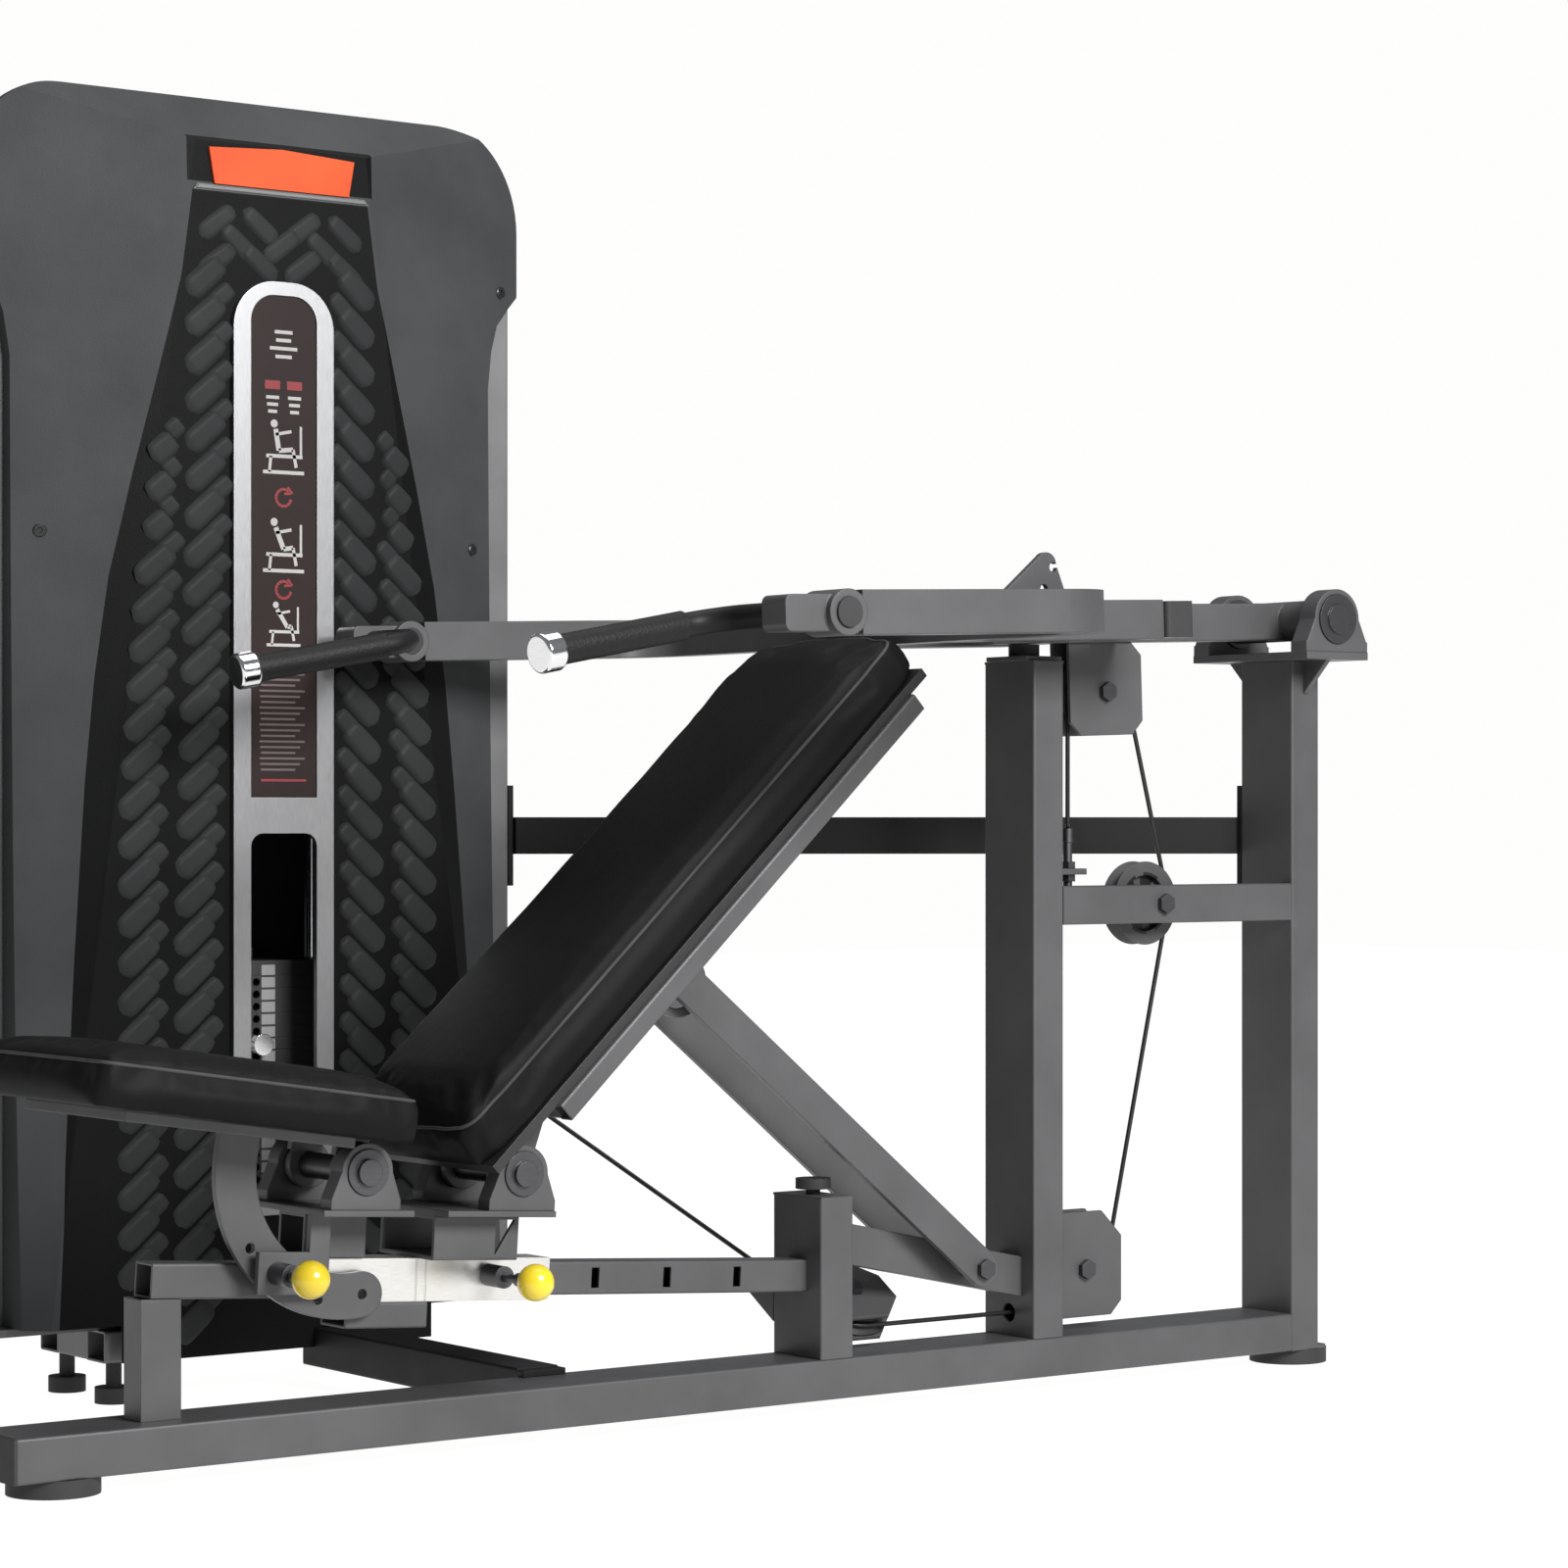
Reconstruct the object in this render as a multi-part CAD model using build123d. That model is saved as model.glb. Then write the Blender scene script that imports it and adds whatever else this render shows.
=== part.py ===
from build123d import *
import os
from math import atan2, cos, degrees, hypot, radians, sin, sqrt, tan

# Multi press machine with one weight stack. Millimetres, +Z up.
# X runs along the bench from the seat to the rear pivot, Y runs from the bench to the tower.

# Base frame and uprights
foot_height = 20.0
foot_radius = 52.0
foot_stud_radius = 5.0
foot_stud_length = 14.0
foot_reach = 15.0
rail_front_x = -1060.0
rail_height = 50.0
frame_width = 100.0
upright_depth = 50.0
frame_wall = 3.0
tube_corner = 3.0
post_x = 45.0
mid_x = 386.0
rear_x = 838.0
upright_top = 940.0
rear_top = 950.0
post_height = 270.0
base_plate = 6.0
base_plate_reach = 12.0
cap_plate = 3.0
cap_depth = 18.0
cap_flange = 4.0
cable_hole_radius = 12.0

# Cross beam between the two tall uprights
beam_z = 625.0
beam_height = 50.0
beam_depth = 25.0
beam_wall = 2.5

# Sloping link beam between the short post and the middle upright
link_post_z = 210.2
link_mid_z = 148.5
link_half = 25.6
link_width = 50.0

# Brace from the tower to the rear upright
brace_z = 714.0
brace_height = 50.0
brace_width = 30.0
brace_plate = 8.0
brace_plate_height = 136.0
brace_plate_width = 90.0
brace_tower_y = 622.0
brace_wall = 2.5

# Cross member from the rail to the tower
member_x = -331.0
member_width = 60.0
member_z = 30.0
member_height = 50.0
member_lap = 16.0
member_lap_plate = 8.0

# Rear pivot of the press arm
pivot_z = 1004.0
pivot_plate = 10.0
pivot_plate_length = 112.0
pivot_plate_width = 224.0
pivot_shaft_radius = 20.0
pivot_shaft_over = 6.0
pivot_block_y = 96.0
pivot_block_width = 30.0
pivot_block_radius = 40.0
pivot_block_base = 14.0
pivot_insert_radius = 33.0
pivot_insert_over = 3.0
gusset_size = 45.0
gusset_thick = 8.0
running_gap = 0.05
slip_gap = 0.3
block_gap = 0.5

# Press arm lever, in its own level frame before it droops
arm_droop = 2.04
lever_front_x = 340.0
arm_tube = 50.0
arm_wall = 3.0
lever_sleeve_radius = 27.0
lever_sleeve_gap = 2.0
hinge_x = 503.0
hinge_barrel = 46.0
hinge_shaft_radius = 15.0
hinge_half = 165.0
hinge_side_gap = 1.0
hinge_cap = 7.0
hinge_cap_round = 6.0
hinge_shaft_short = 1.0

# Sector plate on the lever
sector_thick = 8.0
sector_radius = 118.0
sector_hole_radius = 6.5
sector_hole_angles = (174.0, 158.0, 142.0)
sector_tip_rise = 92.0
sector_tip_x = 104.0
sector_tip_radius = 16.0
sector_rear_x = 68.0
sector_front_x = 197.0

# Yoke with two long legs
yoke_half = 462.0
yoke_cross_x = 135.0
yoke_bend = 85.0
yoke_spine_y = 140.0
socket_x = -275.0
socket_radius = 26.0
socket_length = 60.0
socket_bore = 17.0
socket_plug_head = 3.0
socket_wall_gap = 0.2
lug_front_x = -356.0
lug_height = 41.0
lug_width = 44.0
lug_round = 9.0

# Handles
handle_radius = 14.0
grip_radius = 17.0
handle_root_x = -326.0
handle_bend_inset = 143.0
handle_bend_y = yoke_half - handle_bend_inset
handle_tip_x = -558.0
handle_tip_inset = 126.0
handle_tip_y = yoke_half - handle_tip_inset
handle_tip_drop = 34.0
handle_bend_radius = 48.0
grip_start_share = 0.24
cap_radius = 22.5
cap_length = 26.0
cap_overlap_gap = 0.3
cap_edge = 4.0

# Cable and pulleys
cable_radius = 3.0
pulley_radius = 50.0
pulley_rim = 5.0
pulley_width = 24.0
pulley_bore = 10.0
pulley_hub = 18.0
pulley_web = 8.0
pulley_web_gap = 7.0
pulley_rim_depth = 10.0
groove_gap = 0.3
arm_pulley_reach = 331.4
arm_pulley_drop = 89.3
guide_pulley_x = 584.0
guide_pulley_z = 625.5
guide_pulley_y = 0.0
lower_pulley_x = 474.0
lower_pulley_z = 150.0
floor_corner_x = 97.0
bracket_plate = 5.0
bracket_side_gap = 2.0
bracket_half = 62.0
bracket_cut = 18.0
bracket_under = 57.0
bracket_above = 75.0
bracket_slant = 34.0
bolt_head = 8.0
bolt_head_radius = 13.0
bolt_sides = 6

# Cable anchor on the middle upright
anchor_z = 664.0
anchor_plate = 8.0
anchor_half_width = 15.0
anchor_reach = 20.0
anchor_flange = 65.0
anchor_rod_radius = 6.0
anchor_rod_below = 20.0
anchor_rod_above = 52.0
anchor_nut_radius = 10.5
anchor_nut = 9.0

# Adjustment slide and carriage
slide_tilt = 3.4
slide_post_z = 171.4
slide_tube = 40.0
slide_wall = 3.0
slide_length = 905.0
slide_support_x = -872.0
slide_support_width = 50.0
slot_width = 11.0
slot_height = 24.0
slot_xs = (-86.0, -190.0, -294.0, -449.0)
sleeve_front = -711.0
sleeve_rear = -384.0
sleeve_outer = 50.0
sleeve_gap = 0.5
sleeve_line_xs = (-568.0, -555.0)
sleeve_line_width = 2.0
sleeve_line_depth = 0.8
hinge_height = 127.0
back_hinge_x = -465.4
seat_hinge_x = -674.6
bench_shaft_radius = 15.0
bench_shaft_half = 93.0
bench_block_y = 73.0
bench_block_width = 24.0
bench_block_radius = 33.0
bench_block_base = 12.0
bench_block_half = 45.0
bench_shaft_height = 43.0
bench_insert_radius = 26.0
bench_insert_over = 2.5
stand_plate = 7.0
stand_plate_half = 88.0
stand_wall = 5.0
rear_stand = (-567.0, -453.0)
rear_stand_plate = (-567.0, -420.0)
rear_stand_half = 60.0
front_stand = (-720.0, -640.0)
front_stand_plate = (-730.0, -612.0)
front_stand_half = 30.0
stand_window = 26.0
stand_window_height = 30.0
stop_block = (-660.0, -552.0)
stop_block_height = 30.0
stop_block_half = 28.0

# Spring pins with ball knobs
pin_radius = 5.0
pin_housing_radius = 13.0
pin_housing_length = 34.0
pin_neck_radius = 8.0
pin_neck_length = 18.0
pin_ball_radius = 21.5
pin_reach = 100.0
seat_pin_reach = 75.0
pin_ball_sink = 3.0
pin_travel = 10.0
yoke_pin_collar = 12.0
yoke_pin_collar_gap = 14.0
yoke_pin_collar_radius = 15.0
slide_pin_x = -468.0
slide_pin_z = 5.0
seat_pin_angle = 227.0
seat_sector_pin_radius = 150.0
seat_pin_plate = 8.0
seat_pin_plate_y = 60.0
seat_pin_plate_rise = 24.0

# Backrest
back_angle = 43.0
back_bottom = -48.0
back_top = 815.0
back_half = 137.0
back_frame_low = 23.0
back_frame_high = 48.0
back_frame_rail = 25.0
back_frame_start = 68.0
back_frame_end = 775.0
back_cross = 30.0
back_lug_u = 329.6
back_lug_n = -16.1
back_lug_thick = 6.0
back_lug_y = 30.0
back_lug_slack = 15.5
back_lug_ring = 11.0
back_board = 12.0
back_board_inset = 6.0
back_pad = 78.0
back_crown = 9.0
back_draw = 7.0
back_end_draw = 24.0
hinge_lug_y = 45.0
hinge_lug_thick = 10.0
hinge_lug_radius = 27.0

# Strut pair
strut_pivot_x = 271.0
strut_pivot_z = 167.0
strut_y = 55.0
strut_thick = 10.0
strut_width = 45.0
strut_tie_radius = 15.0
strut_pin_radius = 8.0
strut_spacer_radius = 14.0
strut_over = 18.0

# Seat
seat_tilt = 8.5
seat_front = -384.0
seat_rear = 22.0
seat_half = 160.0
seat_plate_low = 25.0
seat_plate_high = 37.0
seat_plate_front = -330.0
seat_plate_back = -42.0
seat_plate_half = 120.0
seat_tongue_half = 57.0
seat_tongue_end = 14.0
seat_pad = 69.0
seat_crown = 7.0
seat_draw = 8.0
seat_end_draw = 12.0
seat_chamfer = 42.0
seat_chamfer_drop = 25.0
seat_sector_inner = 118.0
seat_sector_outer = 170.0
seat_sector_thick = 8.0
seat_sector_y = 33.0
seat_sector_start_angle = 172.0
seat_sector_end_angle = 286.0
seat_sector_hole = 6.0
seat_sector_step = 14.0
seat_sector_holes = 3

# Tower
tower_x = -410.0
tower_front_y = 530.0
tower_rim_y = 610.0
tower_top = 1664.0
tower_bottom = 56.0
tower_head_half = 409.0
tower_head_drop = 220.0
tower_head_low = tower_top - tower_head_drop
tower_notch = 16.0
tower_waist_half = 351.0
tower_waist_drop = 350.0
tower_sweep_shares = ((0.23, 0.44), (0.54, 0.17))
tower_waist_z = tower_top - tower_waist_drop
tower_corner = 135.0
tower_panel_top_half = 125.0
tower_panel_bottom_half = 330.0
tower_panel_drop = 68.0
tower_panel_top = tower_top - tower_panel_drop
tower_wall = 4.0
tower_cut_y = 556.0
tower_frame_half = 396.0
tower_tube = 50.0
tower_tube_wall = 3.0
tower_base_z = 53.0
tower_base_height = 40.0
tower_back_drop = 34.0
tower_back_top = tower_top - tower_back_drop
tower_upright_drop = 40.0
tower_upright_top = tower_back_top - tower_upright_drop
tower_base_front_y = 560.0
tower_base_rear_y = 690.0
tower_beam_height = 90.0
tower_beam_low = tower_upright_top - tower_beam_height
tower_beam_depth = 10.0
tower_rear_y = 760.0
tower_back_wall = 3.0
tower_back_round = 60.0
tower_base_half = 235.0
tower_skirt_half = 225.0
tower_foot_radius = 24.0

# Placard on the tower
trim_half = 73.0
trim_band = 25.0
trim_crown = 17.5
trim_depth = 8.0
trim_drop = 240.0
trim_top = tower_top - trim_drop
trim_bottom = 230.0
trim_round = 60.0
trim_inner_round = 34.0
trim_bar_low = 718.0
trim_bar_high = 764.0
placard_depth = 6.0
placard_gap = 0.3
badge_half_top = 106.0
badge_half_low = 98.0
badge_drop = 76.0
badge_height = 46.0
badge_high = tower_top - badge_drop
badge_low = badge_high - badge_height
badge_rise = 6.0
badge_depth = 4.0

# Weight stack
stack_y = 640.0
plate_count = 25
lifted_count = 6
plate_thick = 16.0
plate_half = 155.0
plate_depth_half = 45.0
plate_relief = 0.2
head_plate_thick = 20.0
stack_base_y = (580.0, 720.0)
stack_base_thick = 10.0
rod_radius = 12.5
rod_spread = 110.0
rod_bore = 13.2
rod_holder_half = 150.0
rod_holder = 8.0
bumper_radius = 25.0
bumper_height = 30.0
stem_radius = 11.0
stem_bore = 13.0
stem_above = 30.0
stem_low_gap = 12.0
eye_radius = 14.0
eye_height = 22.0
pin_shaft = 4.8
pin_bore = 5.1
pin_head = 14.0
pin_head_length = 12.0
pin_depth = 40.0
selector_stand = 8.0
top_pulley_gap = 20.0
tower_cable_x = tower_x + 4 * pulley_radius + top_pulley_gap
tower_entry_z = 495.5
entry_bar_y = (650.0, 675.0)
entry_bar_reach = 48.0
entry_cut_half = 25.0
entry_cut_rise = 35.0
tower_pulley_rise = 60.0
tower_pulley_z = tower_beam_low + tower_pulley_rise
tower_bracket_half = 30.0

# Stops
stop_plate = 6.0
stop_plate_half_x = 30.0
stop_plate_half_y = 40.0
stop_radius = 20.0
post_stop_radius = 22.0
post_stop_height = 13.0
post_stop_neck = 9.0
post_stop_neck_height = 7.0

over = 1.0
out_length = 30.0

parts = {}


def block(x0, x1, y0, y1, z0, z1):
    size = Box(x1 - x0, y1 - y0, z1 - z0, align=(Align.MIN, Align.MIN, Align.MIN))
    return Pos(x0, y0, z0) * size


def rod(start, direction, radius, length):
    bar = Cylinder(radius, length, align=(Align.CENTER, Align.CENTER, Align.MIN))
    return Plane(origin=start, z_dir=direction) * bar


def ring(start, direction, outer, inner, length):
    return rod(start, direction, outer, length) - rod(start, direction, inner, length)


def y_rod(x, y0, y1, z, radius):
    return rod((x, y0, z), (0, 1, 0), radius, y1 - y0)


def y_ring(x, y0, y1, z, outer, inner):
    return ring((x, y0, z), (0, 1, 0), outer, inner, y1 - y0)


def softened(shape, axis, radius):
    """Bar with its long edges rounded."""
    return fillet(shape.edges().filter_by(axis), radius)


def x_tube(x0, x1, y0, y1, z0, z1, wall):
    inside = block(x0 - over, x1 + over, y0 + wall, y1 - wall, z0 + wall, z1 - wall)
    return softened(block(x0, x1, y0, y1, z0, z1), Axis.X, tube_corner) - inside


def y_tube(x0, x1, y0, y1, z0, z1, wall):
    inside = block(x0 + wall, x1 - wall, y0 - over, y1 + over, z0 + wall, z1 - wall)
    return softened(block(x0, x1, y0, y1, z0, z1), Axis.Y, tube_corner) - inside


def z_tube(x0, x1, y0, y1, z0, z1, wall):
    inside = block(x0 + wall, x1 - wall, y0 + wall, y1 - wall, z0 - over, z1 + over)
    return softened(block(x0, x1, y0, y1, z0, z1), Axis.Z, tube_corner) - inside


def side_plate(points, y0, y1):
    outline = Polyline(*[(x, y0, z) for x, z in points], close=True)
    return extrude(make_face(outline), y1 - y0, dir=(0, 1, 0))


def flat_plate(points, z0, z1):
    outline = Polyline(*[(x, y, z0) for x, y in points], close=True)
    return extrude(make_face(outline), z1 - z0, dir=(0, 0, 1))


def face_of(lines):
    edges = []
    for line in lines:
        edges.extend(line.edges())
    return make_face(Wire(edges))


def both_sides(shape):
    return [shape, mirror(shape, about=Plane.XZ)]


def fused(shapes):
    whole = shapes[0]
    for shape in shapes[1:]:
        whole = whole + shape
    return whole


def add(node, *shapes):
    solids = parts.setdefault(node, [])
    for shape in shapes:
        solids.extend(shape.solids())


def line_crossing(p, d, q, e):
    """Where the line through p along d meets the line through q along e, in a plane."""
    det = d[0] * e[1] - d[1] * e[0]
    t = ((q[0] - p[0]) * e[1] - (q[1] - p[1]) * e[0]) / det
    return (p[0] + t * d[0], p[1] + t * d[1])


# Frames that lean
def arm_place(shape):
    return Pos(rear_x, 0, pivot_z) * Rot(0, -arm_droop, 0) * Pos(-rear_x, 0, -pivot_z) * shape


def slide_place(shape):
    return Pos(post_x - upright_depth / 2, 0, slide_post_z) * Rot(0, slide_tilt, 0) * shape


def slide_point(x, z):
    lean = radians(slide_tilt)
    start = post_x - upright_depth / 2
    return (start + x * cos(lean) + z * sin(lean), slide_post_z - x * sin(lean) + z * cos(lean))


back_hinge = slide_point(back_hinge_x, hinge_height)
seat_hinge = slide_point(seat_hinge_x, hinge_height)


def back_place(shape):
    return Pos(back_hinge[0], 0, back_hinge[1]) * Rot(0, -back_angle, 0) * shape


def back_point(u, n):
    lean = radians(back_angle)
    return (back_hinge[0] + u * cos(lean) - n * sin(lean), back_hinge[1] + u * sin(lean) + n * cos(lean))


def seat_place(shape):
    return Pos(seat_hinge[0], 0, seat_hinge[1]) * Rot(0, seat_tilt, 0) * shape


def arm_point(x, z):
    """World place of a point of the level arm frame, x and z from the pivot."""
    lean = radians(arm_droop)
    return (rear_x + x * cos(lean) - z * sin(lean), pivot_z + x * sin(lean) + z * cos(lean))


rail_top = foot_height + rail_height
half_width = frame_width / 2
half_depth = upright_depth / 2
post_face = post_x - half_depth
tower_base_top = tower_base_z + tower_base_height
pulley_outer = pulley_radius + pulley_rim
pulley_side = pulley_width / 2 + bracket_side_gap
bracket_out = pulley_side + bracket_plate
arm_pulley = arm_point(-arm_pulley_reach, -arm_pulley_drop)


# Base frame
def make_base():
    rail = x_tube(rail_front_x, rear_x - half_depth, -half_width, half_width, foot_height, rail_top,
                  frame_wall)
    front_foot_x = rail_front_x + foot_radius + foot_reach
    rail = rail - rod((front_foot_x, 0, foot_height - over), (0, 0, 1), foot_stud_radius + slip_gap,
                      frame_wall + 2 * over)
    add("base_rail", rail)

    plug = block(rail_front_x - cap_flange, rail_front_x, -half_width, half_width, foot_height, rail_top)
    inner = frame_wall + slip_gap
    tongue = block(rail_front_x, rail_front_x + cap_depth, inner - half_width, half_width - inner,
                   foot_height + inner, rail_top - inner)
    add("rubber_stops", plug + tongue)

    shaft = z_tube(rear_x - half_depth, rear_x + half_depth, -half_width, half_width,
                   foot_height + base_plate, rear_top, frame_wall)
    sole = block(rear_x - half_depth, rear_x + half_depth + base_plate_reach, -half_width, half_width,
                 foot_height, foot_height + base_plate)
    rear_foot_x = rear_x + foot_reach
    sole = sole - rod((rear_foot_x, 0, foot_height - over), (0, 0, 1), foot_stud_radius + slip_gap,
                      base_plate + 2 * over)
    add("rear_upright", shaft + sole)

    upright = z_tube(mid_x - half_depth, mid_x + half_depth, -half_width, half_width, rail_top,
                     upright_top, frame_wall)
    lid = block(mid_x - half_depth, mid_x + half_depth, -half_width, half_width, upright_top - cap_plate,
                upright_top)
    hole = rod((mid_x - upright_depth, 0, lower_pulley_z - pulley_radius), (1, 0, 0), cable_hole_radius,
               2 * upright_depth)
    add("middle_upright", upright + lid - hole)

    stub = z_tube(post_x - half_depth, post_x + half_depth, -half_width, half_width, rail_top,
                  post_height, frame_wall)
    lid = block(post_x - half_depth, post_x + half_depth, -half_width, half_width,
                post_height - cap_plate, post_height)
    add("slide_posts", stub + lid)

    low = beam_z - beam_height / 2
    beam = x_tube(mid_x + half_depth, rear_x - half_depth, -half_width, beam_depth - half_width,
                  low, low + beam_height, beam_wall)
    beam = beam - y_rod(guide_pulley_x, -half_width - over, beam_depth - half_width + over,
                        guide_pulley_z,
                        pulley_bore + running_gap)
    add("upright_crossbeam", beam)

    x0 = post_x + half_depth
    x1 = mid_x - half_depth
    slope = (link_mid_z - link_post_z) / (x1 - x0)
    rim = link_half - frame_wall
    outer = side_plate([(x0, link_post_z - link_half), (x1, link_mid_z - link_half),
                        (x1, link_mid_z + link_half), (x0, link_post_z + link_half)],
                       -link_width / 2, link_width / 2)
    step = slope * over
    inner = side_plate([(x0 - over, link_post_z - rim - step), (x1 + over, link_mid_z - rim + step),
                        (x1 + over, link_mid_z + rim + step), (x0 - over, link_post_z + rim - step)],
                       frame_wall - link_width / 2, link_width / 2 - frame_wall)
    bore = y_rod(strut_pivot_x, -link_width, link_width, strut_pivot_z, strut_pin_radius + running_gap)
    add("link_beam", outer - inner - bore)


def make_feet():
    feet = []
    for x in (rail_front_x + foot_radius + foot_reach, rear_x + foot_reach):
        disc = rod((x, 0, 0), (0, 0, 1), foot_radius, foot_height)
        stud = rod((x, 0, foot_height), (0, 0, 1), foot_stud_radius, foot_stud_length)
        feet.append(disc + stud)
    add("levelling_feet", *feet)
    feet = []
    inset = tower_tube / 2
    for x in (tower_x - tower_base_half + inset, tower_x + tower_base_half - inset):
        for y in (tower_base_front_y + inset, tower_base_rear_y + inset):
            disc = rod((x, y, 0), (0, 0, 1), tower_foot_radius, foot_height)
            stem = rod((x, y, foot_height), (0, 0, 1), 2 * foot_stud_radius, tower_base_z - foot_height)
            feet.append(disc + stem)
    add("levelling_feet", *feet)


def plan_bar(width, x_end, y_end, start, finish, z0, z1):
    """Bar in plan from a face at constant X to a face at constant Y."""
    run = (finish[0] - start[0], finish[1] - start[1])
    long = hypot(*run)
    side = (-run[1] / long * width / 2, run[0] / long * width / 2)
    points = []
    for sign in (1, -1):
        base = (start[0] + sign * side[0], start[1] + sign * side[1])
        near = line_crossing(base, run, (x_end, 0), (0, 1))
        far = line_crossing(base, run, (0, y_end), (1, 0))
        points.append((near, far))
    outline = [points[0][0], points[0][1], points[1][1], points[1][0]]
    return flat_plate(outline, z0, z1)


def make_brace():
    tower_face = tower_x + tower_frame_half
    x_end = tower_face + brace_plate
    y_end = half_width + brace_plate
    start = (x_end, brace_tower_y)
    finish = (rear_x, y_end)
    low = brace_z - brace_height / 2
    high = brace_z + brace_height / 2
    bar = plan_bar(brace_width, x_end, y_end, start, finish, low, high)
    hollow = plan_bar(brace_width - 2 * brace_wall, x_end - over, y_end - over, start, finish,
                      low + brace_wall, high - brace_wall)
    plate_low = brace_z - brace_plate_height / 2
    plate_high = brace_z + brace_plate_height / 2
    tower_end = block(tower_face, x_end, tower_rim_y, tower_rim_y + tower_tube, plate_low, plate_high)
    rear_end = block(rear_x - half_depth, rear_x + half_depth, half_width, y_end, plate_low, plate_high)
    bar = bar - hollow
    add("tower_brace", bar + tower_end + rear_end)


def make_member():
    x0 = member_x - member_width / 2
    x1 = member_x + member_width / 2
    beam = y_tube(x0, x1, half_width, tower_base_front_y, member_z, member_z + member_height, frame_wall)
    lap = block(x0, x1, half_width - member_lap, half_width, rail_top, rail_top + member_lap_plate)
    add("tower_cross_member", beam + lap)


def make_stops():
    x = mid_x
    stop_under = pivot_z - tan(radians(arm_droop)) * (rear_x - x) - arm_tube / 2 / cos(radians(arm_droop))
    plate = block(x - stop_plate_half_x, x + stop_plate_half_x, -stop_plate_half_y, stop_plate_half_y,
                  upright_top, upright_top + stop_plate)
    rise = stop_under - upright_top - stop_plate - slip_gap - stop_radius * tan(radians(arm_droop))
    add("rubber_stops", rod((x, 0, upright_top + stop_plate), (0, 0, 1), stop_radius, rise))
    add("middle_upright", plate)
    neck = rod((post_x, 0, post_height), (0, 0, 1), post_stop_neck, post_stop_neck_height)
    head = rod((post_x, 0, post_height + post_stop_neck_height), (0, 0, 1), post_stop_radius,
               post_stop_height)
    add("rubber_stops", neck + head)


# Rear pivot
def bearing_block(x, y, z, height, radius, width, base_half, base_thick, insert):
    """Pillow block with its shaft along Y; z is the shaft and height is down to its seat."""
    y0 = y - width / 2
    y1 = y + width / 2
    housing = y_rod(x, y0, y1, z, radius)
    neck = side_plate([(x - radius, z), (x + radius, z),
                       (x + radius + base_thick, z - height + base_thick),
                       (x - radius - base_thick, z - height + base_thick)], y0, y1)
    base = block(x - base_half, x + base_half, y0, y1, z - height, z - height + base_thick)
    body = housing + neck + base
    return body - y_rod(x, y0 - over, y1 + over, z, insert + running_gap)


def make_pivot():
    plate = block(rear_x - pivot_plate_length / 2, rear_x + pivot_plate_length / 2,
                  -pivot_plate_width / 2, pivot_plate_width / 2, rear_top, rear_top + pivot_plate)
    wing = Polyline((rear_x, half_width, rear_top), (rear_x, half_width + gusset_size, rear_top),
                    (rear_x, half_width, rear_top - gusset_size), close=True)
    gusset = extrude(make_face(wing), gusset_thick / 2, dir=(1, 0, 0), both=True)
    add("pivot_plate", fused([plate] + both_sides(gusset)))

    height = pivot_z - rear_top - pivot_plate
    housings = []
    inserts = []
    for y in (-pivot_block_y, pivot_block_y):
        housings.append(bearing_block(rear_x, y, pivot_z, height, pivot_block_radius, pivot_block_width,
                                      pivot_plate_length / 2, pivot_block_base, pivot_insert_radius))
        reach = pivot_block_width / 2 + pivot_insert_over
        inserts.append(y_ring(rear_x, y - reach, y + reach, pivot_z, pivot_insert_radius,
                              pivot_shaft_radius + running_gap))
    add("pivot_housings", *housings)
    add("pivot_shaft", *inserts)
    reach = pivot_block_y + pivot_block_width / 2 + pivot_shaft_over
    add("pivot_shaft", y_rod(rear_x, -reach, reach, pivot_z, pivot_shaft_radius))


# Press arm lever
def make_lever():
    half = arm_tube / 2
    sleeve_half = pivot_block_y - pivot_block_width / 2 - pivot_insert_over - lever_sleeve_gap
    spine = x_tube(lever_front_x, rear_x, -half, half, pivot_z - half, pivot_z + half, arm_wall)
    spine = spine - y_rod(rear_x, -half - over, half + over, pivot_z, lever_sleeve_radius)
    sleeve = y_ring(rear_x, -sleeve_half, sleeve_half, pivot_z, lever_sleeve_radius,
                    pivot_shaft_radius + running_gap)
    crush = y_rod(hinge_x, arm_wall - half, half - arm_wall, pivot_z, hinge_shaft_radius + arm_wall)
    bore = y_rod(hinge_x, -half - over, half + over, pivot_z, hinge_shaft_radius + running_gap)
    cover = block(lever_front_x - cap_flange, lever_front_x, -half, half, pivot_z - half, pivot_z + half)
    add("arm_lever", arm_place(spine + sleeve + crush - bore))
    add("arm_lever", arm_place(cover))
    reach = hinge_half - hinge_shaft_short
    add("arm_shafts", arm_place(y_rod(hinge_x, -reach, reach, pivot_z, hinge_shaft_radius)))

    y1 = half + sector_thick
    top = pivot_z + half
    tip = (hinge_x - sector_tip_x, pivot_z + sector_tip_rise - sector_tip_radius)
    points = [(hinge_x - sector_front_x, pivot_z - half), (hinge_x - sector_rear_x, pivot_z - half),
              (hinge_x - sector_rear_x, top), (tip[0] + sector_tip_radius, tip[1]),
              (tip[0] - sector_tip_radius * cos(radians(back_angle)),
               tip[1] + sector_tip_radius * sin(radians(back_angle))),
              (hinge_x - sector_front_x, top)]
    plate = side_plate(points, -y1, -half)
    plate = plate + y_rod(tip[0], -y1, -half, tip[1], sector_tip_radius)
    for angle in sector_hole_angles:
        x = hinge_x + sector_radius * cos(radians(angle))
        z = pivot_z + sector_radius * sin(radians(angle))
        plate = plate - y_rod(x, -y1 - over, -half + over, z, sector_hole_radius)
    add("arm_sector_plate", arm_place(plate))


def square_bar_path(path, size):
    start = path @ 0
    run = path % 0
    return sweep(Plane(origin=start, z_dir=run, x_dir=(0, 0, 1)) * Rectangle(size, size), path)


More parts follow.
